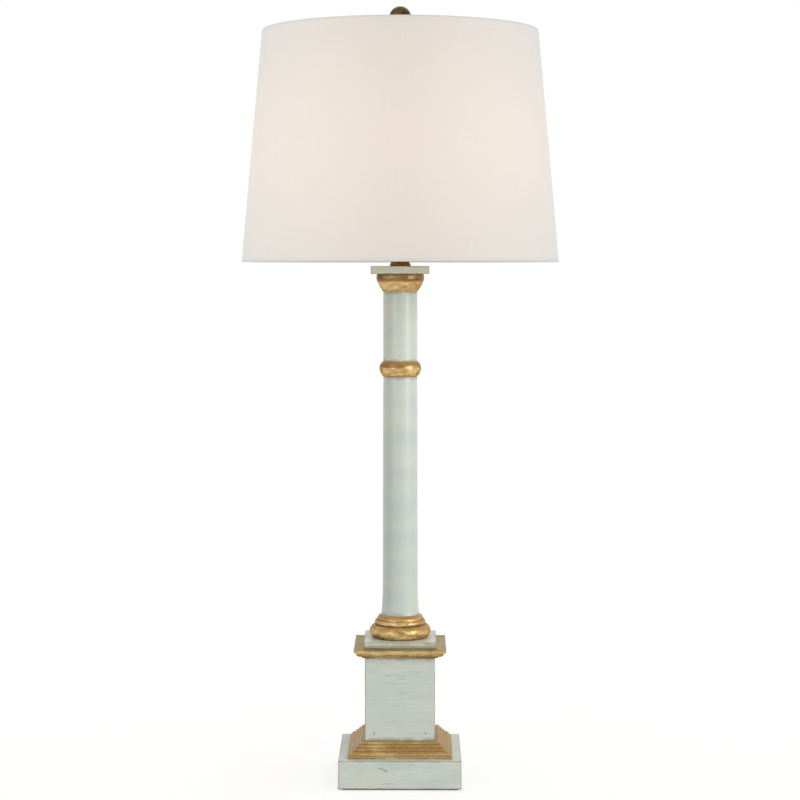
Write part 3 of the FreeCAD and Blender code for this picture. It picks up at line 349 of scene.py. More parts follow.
# %% Colour, metal and relief of the gilding
layer = add_node(tree, MIX, {0: tone, 6: linear("#a98549"), 7: linear("#ecd098")}, data_type="RGBA")
# The quirk glaze also paints the shade in the quirks; the brown on what faces up and the khaki on what
# lies level are painted shade.
for amount, code in ((redder, "#bb8a4f"), (showing, "#8f5a36"), (rubbed, "#ecd7a4"),
                     (gilt_quirk_glaze_and_shade, "#704726"), (gilt_up_facing_shade, "#a17d4a"), (gilt_level_khaki_shade, "#9a9068"),
                     (chipped, "#efe2c6")):
    layer = add_node(tree, MIX, {0: amount, 6: layer, 7: linear(code)}, data_type="RGBA")
dulled = gilt_quirk_glaze_and_shade
for cover in (showing, gilt_up_facing_shade, chipped):
    dulled = add_node(tree, MATH, [dulled, cover], operation="MAXIMUM")
metal = add_node(tree, RANGE, {"Value": dulled, "To Min": 0.8, "To Max": 0.25})
lumps = add_node(tree, MATH, [leaf, cloud], operation="ADD")
relief = add_node(tree, "ShaderNodeBump", {"Height": lumps, "Strength": 0.7, "Distance": 0.0012})
set_inputs(shader, {"Base Color": layer, "Metallic": metal, "Specular Tint": linear("#c9a878"),
                    "Roughness": burnish, "Normal": relief})
print("gilding:", len(tree.nodes), "nodes")

# %% [markdown]
# ## Metals
# The cone under the socket and the finial are spun and turned brass with an antique patina. The
# socket and harp are plated and lacquered, and the hidden rod, nuts and washers are zinc plated.
# They share one recipe: a base colour that tarnish darkens in clouds, and fine tool marks.


# %% Metals
SMOOTHER, ROUGHER = 0.75, 1.35     # how far fine marks take the roughness either way


def metal_finish(name, bright, tarnish, roughness, cloud_mm, mark_mm):
    """A metal whose tarnish lies in clouds and whose roughness carries fine marks."""
    material, tree, shader = new_material(name)
    place = add_node(tree, "ShaderNodeTexCoord").outputs["Object"]
    clouds = add_node(tree, NOISE, {"Vector": place, "Scale": 1000 / cloud_mm, "Detail": 4})
    marks = add_node(tree, NOISE, {"Vector": place, "Scale": 1000 / mark_mm, "Detail": 2})
    amount = add_node(tree, RANGE, {"Value": clouds, "From Min": 0.38, "From Max": 0.66})
    tint = add_node(tree, MIX, {0: amount, 6: linear(bright), 7: linear(tarnish)}, data_type="RGBA")
    least, most = roughness * SMOOTHER, roughness * ROUGHER
    wear = add_node(tree, RANGE,
                    {"Value": marks, "From Min": 0.3, "From Max": 0.7, "To Min": least,
                     "To Max": most})
    relief = add_node(tree, "ShaderNodeBump",
                      {"Height": marks, "Strength": 0.08, "Distance": 0.0001})
    set_inputs(shader, {"Base Color": tint, "Metallic": 1.0, "Roughness": wear,
                        "Normal": relief})
    return material


antique_brass = metal_finish("patinated_turned_brass", "#6d5a35", "#3d301c", 0.36, 9, 1.4)
polished_brass = metal_finish("lacquered_spun_brass", "#ceab6a", "#ad8748", 0.24, 14, 0.8)
zinc_steel = metal_finish("zinc_plated_steel", "#b9bbbd", "#8f9294", 0.36, 6, 0.7)
shade_wire = metal_finish("white_lacquered_wire", "#e6e3dc", "#cfccc4", 0.42, 8, 0.9)
cap_aluminium = metal_finish("pressed_aluminium", "#c9cacb", "#a5a7a9", 0.33, 5, 0.6)
print("metals:", antique_brass.name, "and four more")


# %% [markdown]
# ## Plastics, paper, felt and glass
# These parts are small or hidden. Each still has the grain of its own making: moulded plastic has a
# fine texture from its tool, vulcanised fibre is mottled, felt is matted wool, and the bulb is
# frosted inside and glows warm.


# %% Matt materials
def matt_finish(name, low, high, roughness, grain_mm, depth_mm, sheen=0.0):
    """A plain material whose colour and surface both follow one grain."""
    material, tree, shader = new_material(name)
    place = add_node(tree, "ShaderNodeTexCoord").outputs["Object"]
    grain = add_node(tree, NOISE, {"Vector": place, "Scale": 1000 / grain_mm, "Detail": 5})
    amount = add_node(tree, RANGE, {"Value": grain, "From Min": 0.35, "From Max": 0.65})
    tint = add_node(tree, MIX, {0: amount, 6: linear(low), 7: linear(high)}, data_type="RGBA")
    relief = add_node(tree, "ShaderNodeBump",
                      {"Height": grain, "Strength": 0.6, "Distance": depth_mm / 1000})
    set_inputs(shader, {"Base Color": tint, "Roughness": roughness, "Sheen Weight": sheen,
                        "Normal": relief})
    return material


wool_felt = matt_finish("pressed_wool_felt", "#4b4a42", "#64625a", 0.95, 1.2, 0.5, sheen=0.4)
bushing_plastic = matt_finish("moulded_black_nylon", "#191918", "#232322", 0.45, 0.5, 0.03)
fibre_paper = matt_finish("vulcanised_fibre_paper", "#4c4038", "#62544a", 0.8, 1.5, 0.05)
phenolic = matt_finish("moulded_black_phenolic", "#1a1815", "#27231f", 0.35, 2.0, 0.02)
print("matt materials:", wool_felt.name, "and three more")

# %% Frosted bulb
frosted_glass, tree, shader = new_material("frosted_lamp_glass")
place = add_node(tree, "ShaderNodeTexCoord").outputs["Object"]
frost = add_node(tree, NOISE, {"Vector": place, "Scale": 700, "Detail": 3})
tint = add_node(tree, MIX, {0: frost, 6: linear("#ddd5c8"), 7: linear("#e8e1d6")}, data_type="RGBA")
relief = add_node(tree, "ShaderNodeBump", {"Height": frost, "Strength": 0.15, "Distance": 0.0001})
set_inputs(shader, {"Base Color": tint, "Roughness": 0.35, "Emission Color": linear("#ffd8a6"),
                    "Emission Strength": 0.45, "Normal": relief})
print("bulb:", frosted_glass.name)

# %% [markdown]
# ## Linen and its liner
# Plain-weave linen, about 12 threads to the centimetre, laminated on a clear styrene liner. A flax
# thread is never even, so each set of threads is a noise drawn out along it, 0.8 mm across and
# 40 mm long, and the two sets cross. At this size they only just show. The bulb inside lights the
# cloth from behind, brightest level with the bulb, and that glow is an emission that fades up and
# down the shade, as light from a small source inside a cylinder does. The weave follows the cloth's
# own UV map, which is in metres along the hem and up the wall.

# %% Glow and linen
BULB_LEVEL = 0.735     # metres above the floor
GLOW_REACH = 0.17      # metres from the bulb to the shade wall
HEM_MASKS = ((0.6018, 0.6050), (0.8652, 0.8630))     # metres up: where a ring stops the light


def bulb_glow(tree, strongest):
    """How much light reaches this height from the bulb: the inverse square, slanted by distance."""
    place = add_node(tree, "ShaderNodeTexCoord").outputs["Object"]
    height = add_node(tree, "ShaderNodeSeparateXYZ", [place]).outputs["Z"]
    offset = add_node(tree, MATH, [height, BULB_LEVEL], operation="SUBTRACT")
    ratio = add_node(tree, MATH, [offset, GLOW_REACH], operation="DIVIDE")
    square = add_node(tree, MATH, [ratio, ratio, 1.0], operation="MULTIPLY_ADD")
    fall = add_node(tree, MATH, [square, -1.5], operation="POWER")
    return add_node(tree, MATH, [fall, strongest], operation="MULTIPLY")


def linen_cloth(name, glow):
    """White plain-weave linen; glow is how much lamp light comes through it beside the bulb."""
    material, tree, shader = new_material(name)
    cloth = add_node(tree, "ShaderNodeUVMap", uv_map="cloth")
    threads = []
    for grains_per_metre in ((1250, 25, 1), (25, 1250, 1)):
        run = add_node(tree, "ShaderNodeMapping", {"Vector": cloth, "Scale": grains_per_metre})
        threads.append(add_node(tree, NOISE,
                                {"Vector": run, "Scale": 1.0, "Detail": 3, "Roughness": 0.6}))
    weave = add_node(tree, MATH, [threads[0], threads[1]], operation="ADD")
    shade = add_node(tree, RANGE, {"Value": weave, "From Min": 0.7, "From Max": 1.3})
    tint = add_node(tree, MIX,
                    {0: shade, 6: linear("#dddbd7"), 7: linear("#e2e0dd")}, data_type="RGBA")
    place = add_node(tree, "ShaderNodeTexCoord").outputs["Object"]
    height = add_node(tree, "ShaderNodeSeparateXYZ", [place]).outputs["Z"]
    light = bulb_glow(tree, glow)
    for start, end in HEM_MASKS:
        clear = add_node(tree, RANGE, {"Value": height, "From Min": start, "From Max": end})
        light = add_node(tree, MATH, [light, clear], operation="MULTIPLY")
    relief = add_node(tree, "ShaderNodeBump",
                      {"Height": weave, "Strength": 0.12, "Distance": 0.0002})
    set_inputs(shader, {"Base Color": tint, "Roughness": 0.85, "Specular IOR Level": 0.2,
                        "Sheen Weight": 0.35, "Sheen Roughness": 0.4, "Normal": relief,
                        "Emission Color": linear("#ffcf9e"), "Emission Strength": light})
    return material


linen = linen_cloth("laminated_white_linen", 0.17)

# %% Liner
# The liner carries the bulb's light as a painted glow too, weaker than the cloth's.
styrene, tree, shader = new_material("styrene_shade_liner")
place = add_node(tree, "ShaderNodeTexCoord").outputs["Object"]
roll = add_node(tree, NOISE, {"Vector": place, "Scale": 60, "Detail": 4})
tint = add_node(tree, MIX, {0: roll, 6: linear("#ebe8e2"), 7: linear("#f4f2ee")}, data_type="RGBA")
set_inputs(shader, {"Base Color": tint, "Roughness": 0.45, "Emission Color": linear("#ffd9ad"),
                    "Emission Strength": bulb_glow(tree, 0.35)})
print("cloth and liner:", linen.name, "and", styrene.name)

# %% [markdown]
# ## Finish the CAD parts that stay
# Small or hidden parts already have the right shape, so they only take their material.

# %% Materials for the CAD parts
finish_of_slot = {
    "felt": wool_felt,
    "painted_wood": painted_wood,
    "gilded_wood": gilding,
    "antique_brass": antique_brass,
    "polished_brass": polished_brass,
    "zinc_steel": zinc_steel,
    "shade_wire": shade_wire,
    "cap_aluminium": cap_aluminium,
    "bushing_plastic": bushing_plastic,
    "fibre_paper": fibre_paper,
    "moulded_phenolic": phenolic,
    "frosted_glass": frosted_glass,
    "linen": linen,
    "styrene_liner": styrene,
}
for part in frame["record"]["subparts"]:
    piece = frame["nodes"][part["node"]]
    (shade_set if part["node"].startswith("shade") else stand_set).objects.link(piece)
    if not piece.material_slots:
        piece.data.materials.append(None)
    piece.material_slots[0].material = finish_of_slot[part["material_slot"]]
print("finished", len(frame["nodes"]), "CAD parts")

# %% [markdown]
# ## Outlines of turned and mitred parts
# A turner works from an outline of radius and height, and a mitred moulding has the same kind of
# outline at every point round its square. So each wooden part starts as one outline, in
# millimetres from its own foot. A third number bends the run to the next corner into an arc of that
# radius, and "hollow" puts its centre outside. Each point is given its distance to the nearest
# sharp edge that stands out, its arris, and to the nearest inner corner, its quirk. Glaze also
# gathers where one part meets the next, and it paints the shade of those joins too, so seams,
# given as spans of height, count as quirks. So do the upper halves of the ring and the capital,
# where the glaze paints the shade under the lampshade and, on the capital, under the abacus.

# %% Outlines
STEP = 1.6          # longest run along an outline, in mm
ARC_STEP = 0.16     # longest turn along an arc, in radians
EASE = 0.35         # how much sanding and paint take off an arris, in mm
FAR = 8.0           # gaps past this are all the same, in mm
AT_SEAM = 0.1       # nearer than this to a seam a corner doesn't count, in mm
STANDING, HOLLOW = 0.5, -0.35     # turns, in radians, past which a corner is an arris or a quirk


def arc_points(start, end, radius, hollow):
    """Points along the arc from start to end, without the start."""
    run = end - start
    out = Vector((run.y, -run.x)).normalized() * (-1 if hollow else 1)
    rise = math.sqrt(max(radius ** 2 - (run.length / 2) ** 2, 0))
    centre = (start + end) / 2 - out * rise
    first = math.atan2(*(start - centre).yx)
    sweep = math.atan2(*(end - centre).yx) - first
    sweep = (sweep + math.pi) % (2 * math.pi) - math.pi
    count = max(4, math.ceil(abs(sweep) * radius / STEP), math.ceil(abs(sweep) / ARC_STEP))
    return [centre + radius * Vector((math.cos(first + sweep * i / count),
                                      math.sin(first + sweep * i / count)))
            for i in range(1, count + 1)]


def outline_points(corners, closed):
    """Even points along an outline of corners."""
    points = []
    count = len(corners) if closed else len(corners) - 1
    for i in range(count):
        corner, following = corners[i], corners[(i + 1) % len(corners)]
        start, end = Vector(corner[:2]), Vector(following[:2])
        if len(corner) > 2:
            fresh = arc_points(start, end, corner[2], len(corner) > 3)
        else:
            parts = max(1, math.ceil((end - start).length / STEP))
            fresh = [start.lerp(end, k / parts) for k in range(1, parts + 1)]
        if not points:
            points.append(start)
        points += fresh
    if closed:
        points.pop()
    return points


def corner_turns(points, closed):
    """The left turn at each point, in radians: positive where the outline stands out."""
    turns = []
    for i, point in enumerate(points):
        before, after = points[i - 1], points[(i + 1) % len(points)]
        if not closed and i in (0, len(points) - 1):
            turns.append(0)
            continue
        run, next_run = point - before, after - point
        turns.append(math.atan2(run.x * next_run.y - run.y * next_run.x, run.dot(next_run)))
    return turns


def eased(points, turns):
    """The outline with its standing corners taken off by EASE."""
    soft = []
    for i, point in enumerate(points):
        if turns[i] < STANDING:
            soft.append((point, turns[i]))
            continue
        before, after = points[i - 1], points[(i + 1) % len(points)]
        near = point + (before - point).normalized() * min(EASE, (before - point).length / 2.5)
        past = point + (after - point).normalized() * min(EASE, (after - point).length / 2.5)
        crest = (near + past) / 4 + point / 2
        soft += [(near, 0), (crest, turns[i]), (past, 0)]
    return soft


def gaps(soft, wanted, closed):
    """Each point's distance along the outline to the nearest point that wanted(turn) accepts."""
    count = len(soft)
    gap = [0.0 if wanted(turn) else FAR for _, turn in soft]
    for order in (range(2 * count), range(2 * count, 0, -1)):
        step = 1 if order.step > 0 else -1
        for k in order:
            i, j = k % count, (k - step) % count
            if not closed and abs(i - j) != 1:
                continue
            gap[i] = min(gap[i], gap[j] + (soft[i][0] - soft[j][0]).length)
    return gap


def glaze_and_shade_gap(point, glaze_and_shade_spans):
    """How far above or below the nearest span of seam glaze and painted shade a point lies."""
    return min([FAR] + [max(low - point.y, point.y - high, 0) for low, high in glaze_and_shade_spans])


def outline_mesh(name, corners, foot, closed, glaze_and_shade_spans):
    """The outline as a chain of vertices in the XZ plane, in metres, with its two gaps."""
    points = outline_points(corners, closed)
    soft = [(p, turn if glaze_and_shade_gap(p, glaze_and_shade_spans) > AT_SEAM else 0)
            for p, turn in eased(points, corner_turns(points, closed))]
    mesh = bpy.data.meshes.new(name)
    rows = [(p.x / 1000, 0, foot + p.y / 1000) for p, _ in soft]
    arris = gaps(soft, lambda turn: turn > STANDING, closed)
    quirk = [min(gap, glaze_and_shade_gap(p, glaze_and_shade_spans))
             for gap, (p, _) in zip(gaps(soft, lambda turn: turn < HOLLOW, closed), soft)]
    if closed:
        rows, arris, quirk = rows + rows[:1], arris + arris[:1], quirk + quirk[:1]
    mesh.from_pydata(rows, [(i, i + 1) for i in range(len(rows) - 1)], [])
    for label, values in (("arris_mm", arris), ("quirk_mm", quirk)):
        mesh.attributes.new(label, "FLOAT", "POINT").data.foreach_set("value", values)
    return mesh


# %% [markdown]
# ## A lathe and a mitre saw in one tree
# Turning carries an outline round a circle, and mitring carries it round a square. Both lay the
# outline's points down once for each column of a grid, so one geometry tree does both. In plan a
# column stands at one place on a unit circle or a unit square, and the outline's radius scales
# that place. The four upright arrises of a square are rounded by pulling the corner in to a small
# circle, and count as arrises too. For a block they stand at its half side. For a mitred frame that
# input stays 0, and the mitre line itself counts. A noise then moves the surface a little along
# its normal, as hand work does.


# %% First and last nodes of a geometry tree
def open_tree(name, source, sizes):
    """A geometry tree with a source shape, named sizes and a finish as inputs, and its sockets."""
    tree = bpy.data.node_groups.new(name, "GeometryNodeTree")
    tree.interface.new_socket(source, in_out="INPUT", socket_type="NodeSocketGeometry")
    for label, value in sizes.items():
        kind = "NodeSocketInt" if isinstance(value, int) else "NodeSocketFloat"
        tree.interface.new_socket(label, in_out="INPUT", socket_type=kind).default_value = value
    tree.interface.new_socket("Finish", in_out="INPUT", socket_type="NodeSocketMaterial")
    tree.interface.new_socket("Piece", in_out="OUTPUT", socket_type="NodeSocketGeometry")
    return tree, add_node(tree, "NodeGroupInput").outputs


def close_tree(tree, given, shape):
    """Makes the shape real, gives it the finish, and ends the tree."""
    real = add_node(tree, "GeometryNodeRealizeInstances", [shape])
    dressed = add_node(tree, "GeometryNodeSetMaterial",
                       {"Geometry": real, "Material": given["Finish"]})
    add_node(tree, "NodeGroupOutput", [dressed])
    print(tree.name, "tree:", len(tree.nodes), "nodes")


# %% Round plan and square plan
def round_plan(tree, turn, radius, arris):
    """Where a point stands on a circle of that radius, and its gap to an arris."""
    angle = add_node(tree, MATH, [turn, 2 * math.pi], operation="MULTIPLY")
    spoke = add_node(tree, "ShaderNodeCombineXYZ", {"X": radius})
    place = add_node(tree, "ShaderNodeVectorRotate",
                     {"Vector": spoke, "Angle": angle}, rotation_type="Z_AXIS")
    return place, arris


def square_plan(tree, turn, radius, arris):
    """Where a point stands on a square of that half side, and its gap to an arris or mitre."""
    given = add_node(tree, "NodeGroupInput").outputs
    quarter = add_node(tree, MATH, [turn, 4.0], operation="MULTIPLY")
    side = add_node(tree, MATH, [quarter], operation="FLOOR")
    along = add_node(tree, MATH, [quarter], operation="FRACT")
    swing = add_node(tree, RANGE, {"Value": along, "To Min": -math.pi / 2, "To Max": math.pi / 2})
    across = add_node(tree, MATH, [swing], operation="SINE")
    heading = add_node(tree, MATH, [side, math.pi / 2], operation="MULTIPLY")
    plan = add_node(tree, "ShaderNodeCombineXYZ", {"X": across, "Y": -1.0})
    spread = add_node(tree, VECTORS, {0: plan, "Scale": radius}, operation="SCALE")

    core = add_node(tree, MATH, [radius, given["Arris radius"]], operation="SUBTRACT")
    most = add_node(tree, "ShaderNodeCombineXYZ", {"X": core, "Y": core})
    least = add_node(tree, VECTORS, {0: most, "Scale": -1.0}, operation="SCALE")
    capped = add_node(tree, VECTORS, [spread, most], operation="MINIMUM")
    inner = add_node(tree, VECTORS, [capped, least], operation="MAXIMUM")
    proud = add_node(tree, VECTORS, [spread, inner], operation="SUBTRACT")
    unit = add_node(tree, VECTORS, [proud], operation="NORMALIZE")
    cap = add_node(tree, VECTORS, {0: unit, "Scale": given["Arris radius"]}, operation="SCALE")
    local = add_node(tree, VECTORS, [inner, cap], operation="ADD")
    place = add_node(tree, "ShaderNodeVectorRotate",
                     {"Vector": local, "Angle": heading}, rotation_type="Z_AXIS")

    whole = add_node(tree, MATH, [given["Half side"], radius], operation="MAXIMUM")
    swung = add_node(tree, MATH, [across], operation="ABSOLUTE")
    reached = add_node(tree, MATH, [swung, radius], operation="MULTIPLY")
    beside = add_node(tree, MATH, [whole, reached], operation="SUBTRACT")
    within = add_node(tree, MATH, [whole, radius], operation="SUBTRACT")
    to_corner = add_node(tree, "ShaderNodeCombineXYZ", {"X": beside, "Y": within})
    corner_m = add_node(tree, VECTORS, [to_corner], operation="LENGTH")
    corner = add_node(tree, MATH, [corner_m, 1000.0], operation="MULTIPLY")
    edge = add_node(tree, MATH, [arris, corner], operation="MINIMUM")
    return place, edge


# %% Lathe and mitre saw
SAME_POINT = 0.000002     # metres: points nearer than this are one


def turning_tree(name, plan):
    """The geometry tree that carries an outline round one of the two plans."""
    tree, given = open_tree(name, "Outline", {
        "Rows": 2, "Columns": 96, "Half side": 0.0, "Arris radius": 0.0005,
        "Wave height": 0.0001, "Wave length": 0.02, "Seed": 1.0})
    around = add_node(tree, MATH, [given["Columns"], 1.0], operation="ADD")
    grid = add_node(tree, "GeometryNodeMeshGrid",
                    {"Vertices X": around, "Vertices Y": given["Rows"]})
    number = add_node(tree, "GeometryNodeInputIndex")
    row = add_node(tree, MATH, [number, given["Rows"]], operation="MODULO")
    share = add_node(tree, MATH, [number, given["Rows"]], operation="DIVIDE")
    column = add_node(tree, MATH, [share], operation="FLOOR")
    turn = add_node(tree, MATH, [column, given["Columns"]], operation="DIVIDE")

    fields = [add_node(tree, "GeometryNodeInputPosition")]
    for label in ("arris_mm", "quirk_mm"):
        fields.append(add_node(tree, "GeometryNodeInputNamedAttribute", {"Name": label}))
    spot, arris, quirk = [
        add_node(tree, "GeometryNodeSampleIndex",
                 {"Geometry": given["Outline"], "Value": field, "Index": row}, data_type=kind)
        for field, kind in zip(fields, ("FLOAT_VECTOR", "FLOAT", "FLOAT"))]
    split = add_node(tree, "ShaderNodeSeparateXYZ", [spot])
    flat, edge = plan(tree, turn, split.outputs["X"], arris)
    level_up = add_node(tree, "ShaderNodeCombineXYZ", {"Z": split.outputs["Z"]})
    spot = add_node(tree, VECTORS, [flat, level_up], operation="ADD")
    shape = grid
    for label, value in (("arris_mm", edge), ("quirk_mm", quirk)):
        shape = add_node(tree, "GeometryNodeStoreNamedAttribute",
                         {"Geometry": shape, "Value": value, "Name": label})
    shape = add_node(tree, "GeometryNodeSetPosition", {"Geometry": shape, "Position": spot})
    shape = add_node(tree, "GeometryNodeMergeByDistance",
                     {"Geometry": shape, "Distance": SAME_POINT})

    length = add_node(tree, MATH, [1.0, given["Wave length"]], operation="DIVIDE")
    wave = add_node(tree, NOISE,
                    {"Scale": length, "W": given["Seed"], "Detail": 2.0, "Roughness": 0.45},
                    noise_dimensions="4D")
    centred = add_node(tree, RANGE, {"Value": wave, "To Min": -2.0, "To Max": 2.0})
    push = add_node(tree, MATH, [centred, given["Wave height"]], operation="MULTIPLY")
    facing = add_node(tree, "GeometryNodeInputNormal")
    shift = add_node(tree, VECTORS, {0: facing, "Scale": push}, operation="SCALE")
    shape = add_node(tree, "GeometryNodeSetPosition", {"Geometry": shape, "Offset": shift})
    close_tree(tree, given, shape)
    return tree


lathe, mitre_saw = turning_tree("lathe", round_plan), turning_tree("mitre_saw", square_plan)

# %% [markdown]
# ## From a tree to a part
# The modifier's inputs are set by their identifiers before it first runs. Its result becomes a
# plain mesh, faces are turned outwards, creases past 35 degrees stay crisp, and the part is handed
# to the frame: which body it rides on, and which CAD parts it stands for.

# %% Make a part
CREASE = math.radians(35)


def plain_mesh(piece):
    """Replaces the piece's mesh by the result of its modifiers, and removes them."""
    graph = bpy.context.evaluated_depsgraph_get()
    graph.update()
    result = bpy.data.meshes.new_from_object(piece.evaluated_get(graph))
    piece.modifiers.clear()
    piece.data = result


def close_and_smooth(piece):
    """Turns the faces of a closed shell outwards, and keeps its creases."""
    shell = bmesh.new()
    shell.from_mesh(piece.data)
    if shell.calc_volume(signed=True) < 0:
        bmesh.ops.reverse_faces(shell, faces=shell.faces)
    shell.to_mesh(piece.data)
    shell.free()
    piece.data.shade_smooth()
    piece.data.set_sharp_from_angle(angle=CREASE)


def run_tree(piece, tree, values):
    """Adds a geometry tree as a modifier, with its inputs by name, and makes the result plain."""
    modifier = piece.modifiers.new(tree.name, "NODES")
    modifier.node_group = tree
    for item in tree.interface.items_tree:
        if item.item_type == "SOCKET" and item.in_out == "INPUT" and item.name in values:
            modifier[item.identifier] = values[item.name]
    plain_mesh(piece)


def hand_over(piece, body, slot, *stands_for):
    """Gives a finished piece to the frame."""
    (shade_set if body == "shade" else stand_set).objects.link(piece)
    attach(piece, body)
    if stands_for:
        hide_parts(*stands_for)
    print(piece.name, "rides on", body, "with", len(piece.data.polygons), "faces")


def new_piece(name, mesh):
    """An object of that mesh, in the scene."""
    piece = bpy.data.objects.new(name, mesh)
    bpy.context.collection.objects.link(piece)
    return piece


def turn_part(name, corners, foot, finish, wave_mm, wave_length_mm, seed, columns=96,
              tree=lathe, arris_mm=0.5, closed=True, glaze_and_shade_spans=(), half_side_mm=0.0):
    """A part carried round from its outline, whose foot is at that height in metres."""
    outline = outline_mesh(name, corners, foot, closed, glaze_and_shade_spans)
    piece = new_piece(name, outline)
    run_tree(piece, tree, {
        "Rows": len(outline.vertices), "Columns": columns, "Half side": half_side_mm / 1000,
        "Arris radius": arris_mm / 1000, "Wave height": wave_mm / 1000,
        "Wave length": wave_length_mm / 1000, "Seed": float(seed), "Finish": finish})
    close_and_smooth(piece)
    return piece


# %% [markdown]
# ## Base block, die, plinth and abacus
# Four squared pieces of wood. Planing, filling and paint leave them almost flat, with arrises that
# are soft and a little uneven. Each is an outline of a rectangle carried round a square.


# %% Squared parts
def squared_part(name, node, seed, columns=128, glaze_and_shade_spans=()):
    """A squared block in place of its CAD node, with soft arrises."""
    low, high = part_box(node)
    half, height = (high.x - low.x) * 500, (high.z - low.z) * 1000
    corners = [(0, 0), (half, 0), (half, height), (0, height)]
    return turn_part(name, corners, low.z, painted_wood, 0.07, 28, seed, columns=columns,
                     tree=mitre_saw, arris_mm=0.7, closed=False, glaze_and_shade_spans=glaze_and_shade_spans, half_side_mm=half)


block = squared_part("painted_base_block", "base_block", 11)
die_foot, die_top = (corner.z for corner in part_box("pedestal_die"))
reeds_top, cornice_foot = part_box("base_moulding_front")[1].z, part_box("cornice_moulding_front")[0].z
# The die's and the plinth's seams paint glaze and the shade where they meet the mouldings.
die = squared_part("painted_die", "pedestal_die", 12,
                   glaze_and_shade_spans=[(0, (reeds_top - die_foot) * 1000),
                          ((cornice_foot - die_foot) * 1000, (die_top - die_foot) * 1000)])
plinth = squared_part("painted_plinth", "column_plinth", 13, glaze_and_shade_spans=[(0, 2.0)])
abacus = squared_part("painted_abacus", "abacus", 14, columns=96)

# %% [markdown]
# The block is drilled from the back for the cord and recessed from below for the nut, as the CAD
# block is. A drill and a cutter shaped as round bars are taken away from it.


# %% Bore the block
def round_bar(name, centre, axis, radius, length):
    """A closed round bar, used as a cutter."""
    bar = bmesh.new()
    bmesh.ops.create_cone(bar, cap_ends=True, segments=48, radius1=radius, radius2=radius,
                          depth=length)
    turn = Vector((0, 0, 1)).rotation_difference(Vector(axis)).to_matrix()
    bmesh.ops.rotate(bar, matrix=turn, verts=bar.verts)
    bmesh.ops.translate(bar, vec=centre, verts=bar.verts)
    mesh = bpy.data.meshes.new(name)
    bar.to_mesh(mesh)
    bar.free()
    return new_piece(name, mesh)


CORD_BORE, RECESS, ROD_BORE = 0.00465, 0.030, 0.0055     # radii in metres
RECESS_DEPTH = 0.016
SPARE = 0.01     # metres that a cutter stands out of the wood
bushing_low, bushing_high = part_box("cord_bushing")
cord_level = (bushing_low.z + bushing_high.z) / 2
block_low, block_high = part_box("base_block")
cutters = [
    round_bar("cord_drill", (0, block_high.y / 2 + SPARE, cord_level), (0, 1, 0), CORD_BORE,
              block_high.y + 2 * SPARE),
    round_bar("recess_cutter", (0, 0, block_low.z), (0, 0, 1), RECESS, 2 * RECESS_DEPTH),
    round_bar("rod_drill", (0, 0, block_low.z + 2 * SPARE), (0, 0, 1), ROD_BORE, 6 * SPARE)]
for cutter in cutters:
    cut = block.modifiers.new(cutter.name, "BOOLEAN")
    cut.object, cut.operation, cut.solver = cutter, "DIFFERENCE", "EXACT"
plain_mesh(block)
for cutter in cutters:
    bpy.data.objects.remove(cutter)
close_and_smooth(block)
for piece, node in ((block, "base_block"), (die, "pedestal_die"), (plinth, "column_plinth"),
                    (abacus, "abacus")):
    hand_over(piece, "column", "painted_wood", node)

# %% [markdown]
# ## Reeded moulding and cornice
# The gilded moulding at the foot of the die slopes down in one wide and three narrow reeds. The
# cornice at its top has a cove, an ovolo and a square nose. Four lengths of each are mitred at the
# corners, and the mitres show as fine lines.

# %% Mouldings
reeds = [(40.25, 0), (59.9, 0), (59.9, 2.4), (58.8, 2.6)]
REED_GROOVE = (0.45, 0.4)
for run, rise, bulge in ((5.0, 4.2, 6.5), (2.7, 2.8, 3.3), (2.7, 2.8, 3.3), (2.7, 2.8, 3.3)):
    across, up = reeds[-1][0] - REED_GROOVE[0], reeds[-1][1] + REED_GROOVE[1]
    reeds.append((across, up, bulge))
    reeds.append((across - run, up + rise))
reeds.append((40.25, reeds[-1][1]))
cornice = [(40.25, 0), (43.1, 0, 2.8, "hollow"), (46.3, 2.2, 6.2), (50.8, 6.1), (50.8, 7.1),
           (53.0, 7.1), (53.0, 9.9), (40.25, 10.8)]
SIDES = ("front", "right", "back", "left")
for name, corners, node, seed in (("reeded_moulding", reeds, "base_moulding_", 21),
                                  ("cornice", cornice, "cornice_moulding_", 22)):
    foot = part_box(node + "front")[0].z
    moulding = turn_part(name, corners, foot, gilding, 0.12, 9, seed, columns=160,
                         tree=mitre_saw, arris_mm=0.15, glaze_and_shade_spans=[(0, 0.2)])
    hand_over(moulding, "column", "gilded_wood", *[node + side for side in SIDES])

# %% [markdown]
# ## Turned column
# Everything round on the column comes off one lathe: the gilded base with its two rolls and the
# band between them, the shaft with its flared foot, the gilded ring, the necking and the capital.

# %% Turned parts
TENON, BORE = 12.1, 5.5
base_outline = [(BORE, 0), (30, 0, 8.1), (30, 15.2), (28.2, 15.2, 3.6), (28.0, 20.8),
                (27.0, 20.8, 7.5), (23.4, 26.6), (TENON, 26.6), (TENON, 14.1), (BORE, 14.1)]
shaft_outline = [(BORE, 0), (12, 0), (12, 12), (23, 12, 4, "hollow"), (21.8, 15.4, 420, "hollow"),
                 (20.4, 51.4), (20.1, 201.4), (19.7, 289.4), (12, 289.4), (12, 318.8),
                 (BORE, 318.8)]
ring_outline = [(TENON, 0), (20.2, 0, 16), (24.2, 10, 10), (20.2, 17.4), (TENON, 17.4)]
necking_outline = [(TENON, 0), (19.75, 0), (19.75, 80.7), (BORE, 80.7), (BORE, 12.5),
                   (TENON, 12.5)]
capital_outline = [(BORE, 0), (19.9, 0, 60), (26.2, 10.8, 11), (26.9, 20.6), (BORE, 20.6)]
